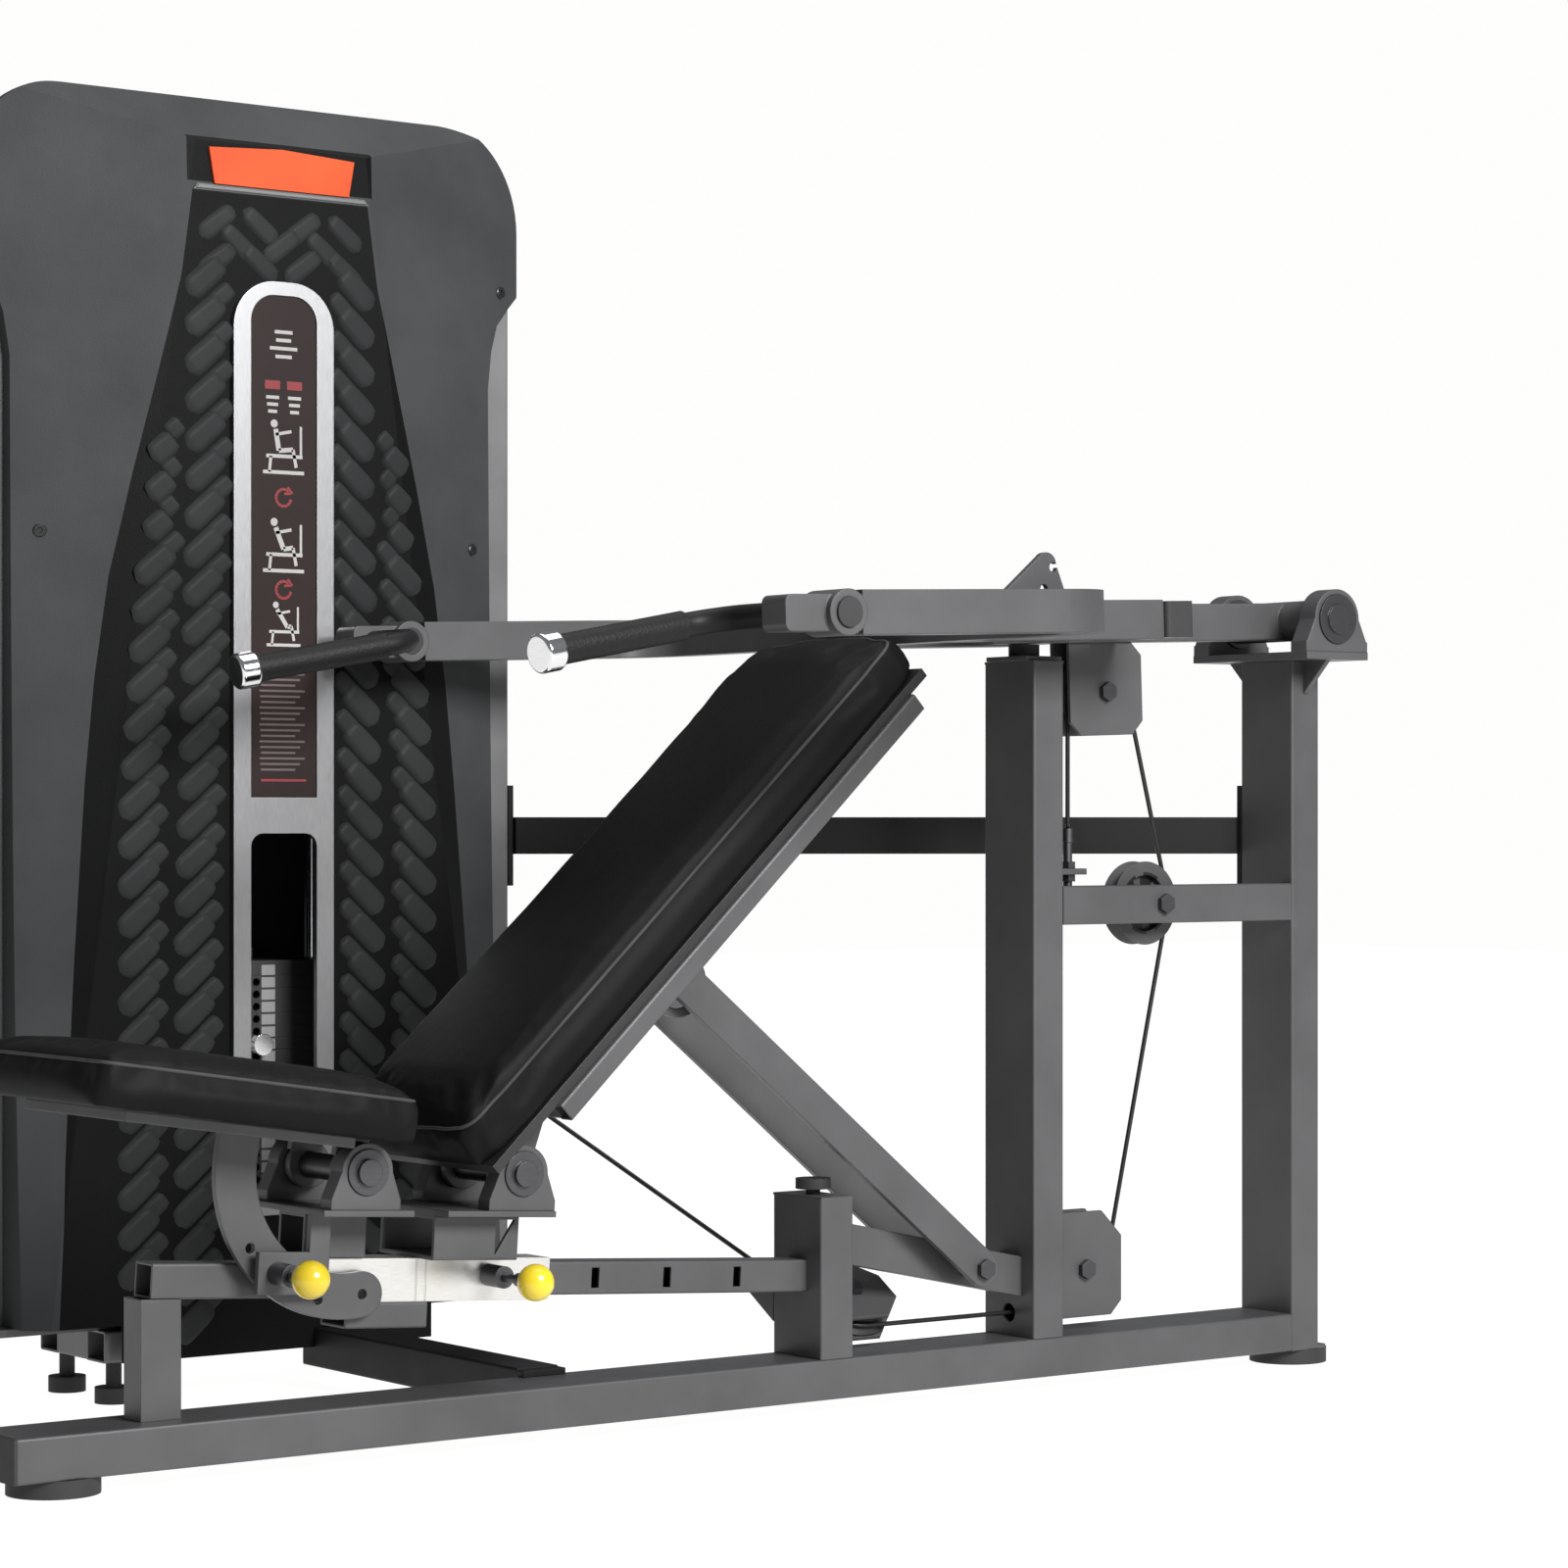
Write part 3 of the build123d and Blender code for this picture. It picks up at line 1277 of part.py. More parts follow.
def make_seat():
    plate = block(seat_plate_front, seat_plate_back, -seat_plate_half, seat_plate_half, seat_plate_low,
                  seat_plate_high)
    tongue = block(seat_plate_back, seat_tongue_end, -seat_tongue_half, seat_tongue_half, seat_plate_low,
                   seat_plate_high)
    lug = y_ring(0, hinge_lug_y, hinge_lug_y + hinge_lug_thick, 0, hinge_lug_radius,
                 bench_shaft_radius + running_gap)
    neck = block(-hinge_lug_radius, seat_tongue_end, hinge_lug_y, hinge_lug_y + hinge_lug_thick,
                 bench_shaft_radius + running_gap, seat_plate_low)
    add("seat_frame", seat_place(fused([plate, tongue] + both_sides(lug) + both_sides(neck))))
    add("bench_shafts", slide_place(y_rod(seat_hinge_x, -bench_shaft_half, bench_shaft_half, hinge_height,
                                        bench_shaft_radius)))
    y0 = -(seat_sector_y + seat_sector_thick)
    band = y_ring(0, y0, -seat_sector_y, 0, seat_sector_outer, seat_sector_inner)
    big = 2 * seat_sector_outer
    start = radians(seat_sector_start_angle)
    end = radians(seat_sector_end_angle)
    wedge = side_plate([(0, 0), (big * cos(start), big * sin(start)), (-big, -big), (0, -big),
                        (big * cos(end), big * sin(end))], y0 - over, over - seat_sector_y)
    band = band & wedge
    heel = block(-seat_sector_outer, -seat_sector_inner, y0, -seat_sector_y,
                 0, seat_plate_low)
    band = band + heel
    middle = (seat_sector_inner + seat_sector_outer) / 2
    tip = y_rod(middle * cos(end), y0, -seat_sector_y, middle * sin(end),
                (seat_sector_outer - seat_sector_inner) / 2)
    band = band + tip - y_rod(middle * cos(end), y0 - over, over - seat_sector_y, middle * sin(end),
                              seat_sector_hole)
    first = seat_pin_angle + seat_tilt
    for index in range(-1, seat_sector_holes):
        angle = radians(first + index * seat_sector_step)
        band = band - y_rod(seat_sector_pin_radius * cos(angle), y0 - over, over - seat_sector_y,
                            seat_sector_pin_radius * sin(angle), seat_sector_hole)
    add("seat_frame", seat_place(band))
    pad = cushion(seat_front, seat_rear, seat_half, seat_plate_high, seat_pad, seat_crown, seat_draw,
                  seat_end_draw)
    top = seat_plate_high + seat_pad
    bevel = side_plate([(seat_rear - seat_chamfer, top + over), (seat_rear + over, top + over),
                        (seat_rear + over, top - seat_chamfer_drop - over),
                        (seat_rear, top - seat_chamfer_drop),
                        (seat_rear - seat_chamfer, top)], -seat_half - over, seat_half + over)
    add("seat_cushion", seat_place(pad - bevel))


# Tower
def tower_outline(inset):
    head = tower_head_half - inset
    waist = tower_waist_half - inset
    top = tower_top - inset
    low = tower_bottom
    radius = tower_corner - inset
    notch = (head - tower_notch, tower_head_low - tower_notch)
    side = [(head, tower_head_low), notch]
    for down, out in tower_sweep_shares:
        side.append((waist + out * (notch[0] - waist), notch[1] - down * (notch[1] - tower_waist_z)))
    side.extend([(waist, tower_waist_z), (waist, low)])
    y = tower_front_y - over
    points = [(tower_x - x, y, z) for x, z in reversed(side)]
    right = [(tower_x + x, y, z) for x, z in side]
    left_top = (tower_x - head, y, top - radius)
    right_top = (tower_x + head, y, top - radius)
    edge = radius * (1 - sqrt(2) / 2)
    lines = [Polyline(*points, left_top),
             ThreePointArc(left_top, (tower_x - head + edge, y, top - edge),
                           (tower_x - head + radius, y, top)),
             Line((tower_x - head + radius, y, top), (tower_x + head - radius, y, top)),
             ThreePointArc((tower_x + head - radius, y, top), (tower_x + head - edge, y, top - edge),
                           right_top),
             Polyline(right_top, *right),
             Line(right[-1], points[0])]
    return face_of(lines)


def cowl(inset, rim):
    """Moulded front shell: a flat splayed panel with bevelled flanks that fall back to the rim."""
    front = tower_front_y + inset
    rise = tower_head_half + tower_wall
    ends = []
    for y, top_half, low_half, top in ((front, tower_panel_top_half, tower_panel_bottom_half,
                                        tower_panel_top),
                                       (tower_rim_y + over, rise, rise, tower_top + tower_wall)):
        points = [(tower_x - low_half + inset, y, tower_bottom - over),
                  (tower_x + low_half - inset, y, tower_bottom - over),
                  (tower_x + top_half - inset, y, top - inset), (tower_x - top_half + inset, y,
                                                                 top - inset)]
        ends.append(make_face(Polyline(*points, close=True)))
    body = loft(ends, ruled=True)
    prism = extrude(tower_outline(inset), tower_rim_y - tower_front_y + 2 * over + rim, dir=(0, 1, 0))
    return body & prism


def make_tower_covers():
    shell = cowl(0, 0) - cowl(tower_wall, 0)
    span = tower_head_half + over
    shell = shell - block(tower_x - span, tower_x + span, tower_rim_y, tower_rear_y, 0, tower_top + over)
    shell = shell - block(tower_x - span, tower_x + span, tower_cut_y, tower_rim_y + over, 0,
                          stack_floor + slip_gap)
    slot = trim_half - trim_band
    shell = shell - block(tower_x - slot, tower_x + slot, tower_front_y - over, tower_cut_y,
                          trim_bottom + trim_band, trim_bar_low)
    entry = floor_corner + (base_corner - floor_corner) * (tower_front_y / stack_y)
    shell = shell - block(entry.X - entry_cut_half, entry.X + entry_cut_half, tower_front_y - over,
                          tower_rim_y - over,
                          entry.Z - entry_cut_rise / 2, entry.Z + entry_cut_rise)
    for x in (tower_x - span, tower_x + tower_skirt_half):
        shell = shell - block(x, x + span - tower_skirt_half, tower_front_y - over, tower_rim_y + over,
                              0, stack_floor + slip_gap)
    reach = member_width / 2 + slip_gap
    shell = shell - block(member_x - reach, member_x + reach, tower_front_y - over, tower_rim_y - over,
                          0, member_z + member_height + slip_gap)
    add("tower_front_cover", shell)

    half = tower_frame_half
    wall = tower_back_wall
    y0 = tower_rim_y + tower_tube
    cover = block(tower_x - half, tower_x + half, tower_rim_y, tower_rear_y, stack_floor, tower_back_top)
    cover = fillet(cover.edges().filter_by(Axis.Y).group_by(Axis.Z)[-1], tower_back_round)
    inside = block(tower_x - half + wall, tower_x + half - wall, tower_rim_y - over, tower_rear_y - wall,
                   stack_floor - over, tower_back_top - wall)
    inside = fillet(inside.edges().filter_by(Axis.Y).group_by(Axis.Z)[-1], tower_back_round - wall)
    side_cut = block(tower_x - half - over, tower_x + half + over, tower_rim_y - over, y0, 0,
                     tower_upright_top)
    add("tower_rear_cover", cover - inside - side_cut)


def make_tower_frame():
    half = tower_base_half
    z0 = tower_base_z
    z1 = tower_base_top
    inset = tower_tube
    front = x_tube(tower_x - half, tower_x + half, tower_base_front_y, tower_base_front_y + tower_tube,
                   z0, z1,
                   tower_tube_wall)
    rear = x_tube(tower_x - half, tower_x + half, tower_base_rear_y, tower_base_rear_y + tower_tube, z0,
                  z1,
                  tower_tube_wall)
    ties = []
    for x in (tower_x - half, tower_x + half - inset):
        ties.append(y_tube(x, x + inset, tower_base_front_y + tower_tube, tower_base_rear_y, z0, z1,
                           tower_tube_wall))
    add("tower_frame", front, rear, *ties)
    y0 = tower_rim_y
    half = tower_frame_half
    for x in (tower_x - half, tower_x + half - inset):
        add("tower_frame", z_tube(x, x + inset, y0, y0 + tower_tube, stack_floor, tower_upright_top,
                                  tower_tube_wall))
    beams = []
    span = half - inset
    for y in (stack_y - tower_tube / 2, stack_y + tower_tube / 2 - tower_beam_depth):
        beam = block(tower_x - span, tower_x + span, y, y + tower_beam_depth,
                     tower_beam_low, tower_beam_low + tower_beam_height)
        for x in (tower_cable_x - pulley_radius, tower_x + pulley_radius):
            beam = beam - y_rod(x, y - over, y + tower_beam_depth + over, tower_pulley_z,
                                pulley_bore + running_gap)
        beams.append(beam)
    add("tower_frame", *beams)
    add("tower_frame", block(tower_x - rod_holder_half, tower_x + rod_holder_half,
                             stack_y - tower_tube / 2,
                             stack_y + tower_tube / 2, tower_beam_low - rod_holder, tower_beam_low)
        - rod((tower_x, stack_y, tower_beam_low - 2 * rod_holder), (0, 0, 1), eye_radius,
              2 * rod_holder + over))
    add("tower_frame", block(tower_x - half, tower_x + half, stack_base_y[0], stack_base_y[1], z1,
                             stack_floor))
    add("tower_frame", block(tower_cable_x - entry_bar_reach, tower_x + span, entry_bar_y[0],
                             entry_bar_y[1],
                             base_centre.Z - tower_bracket_half, base_centre.Z + tower_bracket_half))


stack_floor = tower_base_top + stack_base_thick
plates_floor = stack_floor + bumper_height
stack_top = plates_floor + plate_count * plate_thick


def make_stack():
    rods = []
    bumpers = []
    for x in (tower_x - rod_spread, tower_x + rod_spread):
        rods.append(rod((x, stack_y, stack_floor), (0, 0, 1), rod_radius,
                        tower_beam_low - rod_holder - stack_floor))
        bumpers.append(ring((x, stack_y, stack_floor), (0, 0, 1), bumper_radius, rod_radius + running_gap,
                            bumper_height))
    add("guide_rods", *rods)
    add("rubber_stops", *bumpers)

    front = stack_y - plate_depth_half

    def weight(z0, thick, pinned):
        plate = block(tower_x - plate_half, tower_x + plate_half, front, stack_y + plate_depth_half,
                      z0 + plate_relief, z0 + thick)
        for x in (tower_x - rod_spread, tower_x + rod_spread):
            plate = plate - rod((x, stack_y, z0 - over), (0, 0, 1), rod_bore, thick + 2 * over)
        plate = plate - rod((tower_x, stack_y, z0 - over), (0, 0, 1), stem_bore, thick + 2 * over)
        if pinned:
            plate = plate - y_rod(tower_x, front - over, stack_y, z0 + thick / 2, pin_bore)
        return plate

    pattern = weight(0, plate_thick, True)
    resting = plate_count - lifted_count
    add("resting_plates",
        *[Pos(0, 0, plates_floor + index * plate_thick) * pattern for index in range(resting)])
    first = plates_floor + resting * plate_thick
    add("lifted_stack",
        *[Pos(0, 0, first + index * plate_thick) * pattern for index in range(lifted_count)])
    add("lifted_stack", weight(stack_top, head_plate_thick, False))
    low = plates_floor + stem_low_gap
    high = stack_top + head_plate_thick + stem_above
    stem = rod((tower_x, stack_y, low), (0, 0, 1), stem_radius, high - low)
    collar = rod((tower_x, stack_y, stack_top + head_plate_thick), (0, 0, 1), eye_radius + cable_radius,
                 plate_thick)
    eye = rod((tower_x, stack_y, high), (0, 0, 1), eye_radius, eye_height)
    for index in range(plate_count):
        z = plates_floor + (index + 1 / 2) * plate_thick
        stem = stem - y_rod(tower_x, stack_y - stem_bore, stack_y + stem_bore, z, pin_bore)
    add("lifted_stack", fused([stem, collar, eye]))
    z = first + plate_thick / 2
    shaft = y_rod(tower_x, front - selector_stand, front + pin_depth, z, pin_shaft)
    head = y_rod(tower_x, front - selector_stand - pin_head_length, front - selector_stand, z, pin_head)
    add("selector_pin", shaft + head)


def rounded_slab(half, low, high, radius, y0, y1):
    """Upright slab with a rounded top and a square foot, centred on the tower."""
    slab = block(tower_x - half, tower_x + half, y0, y1, low, high)
    return fillet(slab.edges().filter_by(Axis.Y).group_by(Axis.Z)[-1], radius)


def make_placard():
    y0 = tower_front_y - trim_depth
    inner = trim_half - trim_band
    outer = rounded_slab(trim_half, trim_bottom, trim_top, trim_round, y0, tower_front_y)
    hole = rounded_slab(inner, trim_bar_high, trim_top - trim_crown, trim_inner_round, y0 - over,
                        tower_front_y + over)
    slot = rounded_slab(inner, trim_bottom + trim_band, trim_bar_low, trim_inner_round / 2, y0 - over,
                        tower_front_y + over)
    add("placard_trim", outer - hole - slot)
    gap = placard_gap
    panel = rounded_slab(inner - gap, trim_bar_high + gap, trim_top - trim_crown - gap,
                         trim_inner_round - gap,
                         tower_front_y - placard_depth, tower_front_y)
    add("placard_panel", panel)
    y = tower_front_y - badge_depth
    points = [(tower_x - badge_half_low, badge_low), (tower_x + badge_half_low, badge_low),
              (tower_x + badge_half_top, badge_high), (tower_x, badge_high + badge_rise),
              (tower_x - badge_half_top, badge_high)]
    add("header_badge", side_plate(points, y, tower_front_y))


make_base()
make_feet()
make_brace()
make_member()
make_stops()
make_pivot()
make_lever()
make_yoke()
make_handles()
make_pulleys()
make_anchor()
make_slide()
make_carriage()
make_pins()
make_backrest()
make_struts()
make_seat()
make_tower_frame()
make_stack()
make_cables()
make_tower_covers()
make_placard()

# The origin is the centre of the whole machine's footprint, on the floor
lows = []
highs = []
for solids in parts.values():
    for solid in solids:
        bounds = solid.bounding_box()
        lows.append((bounds.min.X, bounds.min.Y))
        highs.append((bounds.max.X, bounds.max.Y))
centre_x = (min(p[0] for p in lows) + max(p[0] for p in highs)) / 2
centre_y = (min(p[1] for p in lows) + max(p[1] for p in highs)) / 2

os.makedirs("parts", exist_ok=True)
for node, solids in parts.items():
    moved = [Pos(-centre_x, -centre_y, 0) * solid for solid in solids]
    whole = moved[0] if len(moved) == 1 else Compound(children=moved)
    export_step(whole, "parts/" + node + ".step")
print(len(parts), "nodes, centre", round(centre_x, 2), round(centre_y, 2))
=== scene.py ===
import bpy
import bmesh
import math
from mathutils import Matrix, Vector
from mathutils.bvhtree import BVHTree


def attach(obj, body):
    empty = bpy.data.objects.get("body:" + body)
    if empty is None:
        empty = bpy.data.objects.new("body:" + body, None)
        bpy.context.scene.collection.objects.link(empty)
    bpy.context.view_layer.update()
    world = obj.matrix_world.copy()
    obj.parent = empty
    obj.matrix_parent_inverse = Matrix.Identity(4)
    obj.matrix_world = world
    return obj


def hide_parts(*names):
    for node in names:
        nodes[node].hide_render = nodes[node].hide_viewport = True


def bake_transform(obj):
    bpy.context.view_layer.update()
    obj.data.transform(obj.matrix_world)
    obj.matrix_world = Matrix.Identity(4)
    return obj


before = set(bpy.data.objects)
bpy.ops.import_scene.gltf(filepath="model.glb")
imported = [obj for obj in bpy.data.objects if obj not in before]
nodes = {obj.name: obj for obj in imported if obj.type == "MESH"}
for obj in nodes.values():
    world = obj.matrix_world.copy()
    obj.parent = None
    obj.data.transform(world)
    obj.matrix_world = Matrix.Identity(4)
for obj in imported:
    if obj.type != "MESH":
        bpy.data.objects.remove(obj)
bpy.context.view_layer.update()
scene = bpy.context.scene
scene.view_settings.view_transform = "Standard"

# Shift from the machine's own measuring lines to the row frame, in metres
SHIFT_X = 0.0795
SHIFT_Y = -0.1325


def at(x, y, z):
    """Place in metres of a point given in millimetres on the machine's measuring lines."""
    return Vector((x / 1000 + SHIFT_X, y / 1000 + SHIFT_Y, z / 1000))


# Camera, solved from the photo: place in millimetres, heading in degrees
CAMERA_PLACE = (-3001.6, -4062.4, 735.9)
CAMERA_HEADING = -36.46
CAMERA_LENS = 93.7
CAMERA_SENSOR = 36
CAMERA_SHIFT = 0.0226
CAMERA_REACH = 60

camera_data = bpy.data.cameras.new("camera")
camera = bpy.data.objects.new("camera", camera_data)
scene.collection.objects.link(camera)
camera.location = at(*CAMERA_PLACE)
camera.rotation_euler = (math.radians(90), 0, math.radians(CAMERA_HEADING))
camera_data.lens = CAMERA_LENS
camera_data.sensor_width = CAMERA_SENSOR
camera_data.shift_y = CAMERA_SHIFT
camera_data.clip_end = CAMERA_REACH
scene.camera = camera

# Materials


def new_material(name):
    mat = bpy.data.materials.new(name)
    mat.use_nodes = True
    tree = mat.node_tree
    return mat, tree, tree.nodes["Principled BSDF"]


def coords(tree):
    return tree.nodes.new("ShaderNodeTexCoord").outputs["Object"]


def noise(tree, scale, detail, rough=0.55):
    node = tree.nodes.new("ShaderNodeTexNoise")
    node.inputs["Scale"].default_value = scale
    node.inputs["Detail"].default_value = detail
    node.inputs["Roughness"].default_value = rough
    tree.links.new(coords(tree), node.inputs["Vector"])
    return node.outputs["Fac"]


def cells(tree, scale, feature="F1"):
    node = tree.nodes.new("ShaderNodeTexVoronoi")
    node.feature = feature
    node.inputs["Scale"].default_value = scale
    tree.links.new(coords(tree), node.inputs["Vector"])
    return node.outputs["Distance"]


# Part of a noise's range over which a colour ramp runs
RAMP_START = 0.35
RAMP_END = 0.65


def ramp(tree, source, low, high):
    """Colour that runs from low to high over the middle of the source's range."""
    node = tree.nodes.new("ShaderNodeValToRGB")
    ends = ((RAMP_START, low), (RAMP_END, high))
    for element, (position, colour) in zip(node.color_ramp.elements, ends):
        element.position = position
        element.color = (*colour, 1)
    tree.links.new(source, node.inputs["Fac"])
    return node.outputs["Color"]


def spread(tree, source, low, high):
    node = tree.nodes.new("ShaderNodeMapRange")
    node.inputs["To Min"].default_value = low
    node.inputs["To Max"].default_value = high
    tree.links.new(source, node.inputs["Value"])
    return node.outputs["Result"]


def rounded(tree, radius):
    """Normal of softly rounded edges."""
    node = tree.nodes.new("ShaderNodeBevel")
    node.samples = 4
    node.inputs["Radius"].default_value = radius
    return node.outputs["Normal"]


def bump(tree, height, strength, distance, normal=None):
    node = tree.nodes.new("ShaderNodeBump")
    node.inputs["Strength"].default_value = strength
    node.inputs["Distance"].default_value = distance
    tree.links.new(height, node.inputs["Height"])
    if normal is not None:
        tree.links.new(normal, node.inputs["Normal"])
    return node.outputs["Normal"]


def cloudy(colour, down, up):
    """Darker and lighter neighbour of a colour, the lighter one no brighter than white."""
    return [c * down for c in colour], [min(1, c * up) for c in colour]


# Radius of the softly rounded edges of each kind of surface, in metres
PAINT_EDGE = 0.0025
METAL_EDGE = 0.0012
MOULD_EDGE = 0.0015


def painted(name, colour, rough=0.42, grain=900.0, metallic=0.35, spread_share=0.12, specular=0.5):
    """Powder-coated steel: fine orange peel, faint cloudy colour and softly rounded edges."""
    mat, tree, shader = new_material(name)
    cloud = noise(tree, 7.0, 5.0)
    low, high = cloudy(colour, 1 - spread_share, 1 + spread_share)
    tree.links.new(ramp(tree, cloud, low, high), shader.inputs["Base Color"])
    smear = noise(tree, 22.0, 6.0, 0.7)
    tree.links.new(spread(tree, smear, rough - 0.07, rough + 0.09), shader.inputs["Roughness"])
    peel = noise(tree, grain, 2.0)
    normal = bump(tree, peel, 0.25, 0.00018, rounded(tree, PAINT_EDGE))
    tree.links.new(normal, shader.inputs["Normal"])
    shader.inputs["Metallic"].default_value = metallic
    shader.inputs["Specular IOR Level"].default_value = specular
    return mat


def metal(name, colour, rough, stretch=(1.0, 1.0, 40.0), strength=0.12):
    """Bare metal with fine drawn or turned lines."""
    mat, tree, shader = new_material(name)
    mapping = tree.nodes.new("ShaderNodeMapping")
    mapping.inputs["Scale"].default_value = stretch
    tree.links.new(coords(tree), mapping.inputs["Vector"])
    lines = tree.nodes.new("ShaderNodeTexNoise")
    lines.inputs["Scale"].default_value = 60.0
    lines.inputs["Detail"].default_value = 5.0
    tree.links.new(mapping.outputs["Vector"], lines.inputs["Vector"])
    grain = lines.outputs["Fac"]
    low = [c * 0.86 for c in colour]
    tree.links.new(ramp(tree, grain, low, colour), shader.inputs["Base Color"])
    tree.links.new(spread(tree, grain, rough * 0.8, rough * 1.25), shader.inputs["Roughness"])
    normal = bump(tree, grain, strength, 0.0002, rounded(tree, METAL_EDGE))
    tree.links.new(normal, shader.inputs["Normal"])
    shader.inputs["Metallic"].default_value = 1.0
    return mat


def moulded(name, colour, rough=0.5, grain=420.0, depth=0.0003, strength=0.4, edge=MOULD_EDGE,
            coat=0.0, specular=0.4):
    """Moulded plastic or rubber with a fine pebbled surface."""
    mat, tree, shader = new_material(name)
    cloud = noise(tree, 5.0, 4.0)
    low, high = cloudy(colour, 0.85, 1.12)
    tree.links.new(ramp(tree, cloud, low, high), shader.inputs["Base Color"])
    normal = rounded(tree, edge) if edge else None
    normal = bump(tree, cells(tree, grain), strength, depth, normal)
    tree.links.new(normal, shader.inputs["Normal"])
    smear = noise(tree, 30.0, 5.0, 0.65)
    tree.links.new(spread(tree, smear, rough - 0.08, rough + 0.08), shader.inputs["Roughness"])
    shader.inputs["Coat Weight"].default_value = coat
    shader.inputs["Specular IOR Level"].default_value = specular
    return mat


def ink(name, colour, rough=0.6):
    """Flat print on a panel or a label."""
    return moulded(name, colour, rough=rough, grain=900.0, depth=0.00003, edge=0.0)


def vinyl(name, colour):
    """Upholstery vinyl: leather grain over slow dimples, with slow sheen changes."""
    mat, tree, shader = new_material(name)
    cloud = noise(tree, 9.0, 5.0)
    low, high = cloudy(colour, 0.8, 1.2)
    tree.links.new(ramp(tree, cloud, low, high), shader.inputs["Base Color"])
    grain = bump(tree, cells(tree, 330.0, "DISTANCE_TO_EDGE"), 0.5, 0.0004)
    dimples = bump(tree, noise(tree, 45.0, 3.0), 0.25, 0.0012, grain)
    tree.links.new(dimples, shader.inputs["Normal"])
    tree.links.new(spread(tree, cloud, 0.48, 0.64), shader.inputs["Roughness"])
    shader.inputs["Specular IOR Level"].default_value = 0.09
    return mat


frame_grey = painted("frame_grey", (0.070, 0.070, 0.072), metallic=0.25)
frame_dark = painted("frame_dark", (0.0065, 0.0065, 0.007), rough=0.5, metallic=0.0, specular=0.2)
light_grey = painted("light_grey", (0.115, 0.115, 0.117), rough=0.5)
iron = painted("iron", (0.03, 0.03, 0.032), rough=0.5, grain=500.0, spread_share=0.25)
dark_steel = metal("dark_steel", (0.10, 0.10, 0.105), 0.4)
chrome = metal("chrome", (0.82, 0.82, 0.83), 0.1, strength=0.04)
satin_alu = metal("satin_alu", (0.80, 0.785, 0.755), 0.33, stretch=(1.0, 40.0, 40.0))
trim_alu = metal("trim_alu", (0.34, 0.34, 0.345), 0.36, stretch=(40.0, 40.0, 1.0))
rubber = moulded("rubber", (0.022, 0.022, 0.023), rough=0.7)
grip_rubber = moulded("grip_rubber", (0.007, 0.007, 0.007), rough=0.55, grain=260.0, depth=0.0006,
                      strength=0.6, specular=0.2)
shell = moulded("shell", (0.041, 0.042, 0.043), specular=0.06)
black_plastic = moulded("black_plastic", (0.02, 0.02, 0.021), rough=0.4)
jacket = moulded("jacket", (0.012, 0.012, 0.012), rough=0.3, grain=700.0, depth=0.0001, edge=0.0)
orange = moulded("orange", (0.50, 0.062, 0.015), grain=800.0, depth=0.00005, specular=0.15)
yellow = moulded("yellow", (0.66, 0.49, 0.02), rough=0.25, grain=800.0, depth=0.00004, coat=0.5)
panel_dark = moulded("panel_dark", (0.017, 0.0095, 0.009), grain=900.0, depth=0.00004,
                     specular=0.15)
braid_look = moulded("braid_look", (0.022, 0.0225, 0.023), grain=650.0, depth=0.0002, edge=0.0,
                     specular=0.07)
label_grey = ink("label_grey", (0.24, 0.24, 0.24))
ink_white = ink("ink_white", (0.34, 0.33, 0.32))
ink_red = ink("ink_red", (0.19, 0.015, 0.018))
ink_faint = ink("ink_faint", (0.085, 0.066, 0.062), rough=0.5)
pad_vinyl = vinyl("pad_vinyl", (0.0048, 0.0048, 0.0050))
# Piping vinyl: the seam is real, and its light colour is a painted highlight along the cushions'
# edges
piping_highlight_vinyl = vinyl("piping_highlight_vinyl", (0.045, 0.045, 0.046))

looks = (
    (frame_grey, ("base_rail", "rear_upright", "middle_upright", "slide_posts", "upright_crossbeam",
                  "link_beam", "pivot_plate", "arm_lever", "arm_yoke", "backrest_strut",
                  "carriage_stands", "pivot_housings", "bench_housings", "backrest_frame",
                  "seat_frame", "pulley_brackets", "arm_pulley_bracket", "arm_sector_plate",
                  "slide_tube")),
    (frame_dark, ("tower_brace", "tower_cross_member", "handle_bars")),
    (light_grey, ("tower_frame",)),
    (rubber, ("rubber_stops", "levelling_feet", "yoke_caps")),
    (grip_rubber, ("handle_grips",)),
    (dark_steel, ("pivot_shaft", "axle_bolts", "arm_shafts", "bench_shafts", "yoke_spring_pin")),
    (chrome, ("handle_caps", "guide_rods", "selector_pin")),
    (satin_alu, ("carriage_sleeve",)),
    (trim_alu, ("placard_trim",)),
    (shell, ("tower_front_cover", "tower_rear_cover")),
    (black_plastic, ("arm_pulley", "guide_pulley", "lower_pulley", "floor_pulley",
                     "tower_base_pulley", "tower_top_pulley_inner", "tower_top_pulley_outer")),
    (jacket, ("cable_main_run", "cable_arm_loop", "cable_anchor_run", "cable_guide_run",
              "cable_stack_run")),
    (iron, ("lifted_stack", "resting_plates")),
    (orange, ("header_badge",)),
    (panel_dark, ("placard_panel",)),
    (yellow, ("slide_pin", "seat_pin")),
)
for look, names in looks:
    for name in names:
        materials = nodes[name].data.materials
        materials.clear()
        materials.append(look)


def join(tree, kind, first, second=None):
    """Result of a sum on one or two sockets or plain numbers."""
    node = tree.nodes.new("ShaderNodeMath")
    node.operation = kind
    for socket, value in zip(node.inputs, (first, second)):
        if isinstance(value, (int, float)):
            socket.default_value = value
        elif value is not None:
            tree.links.new(value, socket)
    return node.outputs[0]


def product(tree, *masks):
    """Mask that is 1 where all the masks are."""
    result = masks[0]
    for mask in masks[1:]:
        result = join(tree, "MULTIPLY", result, mask)
    return result


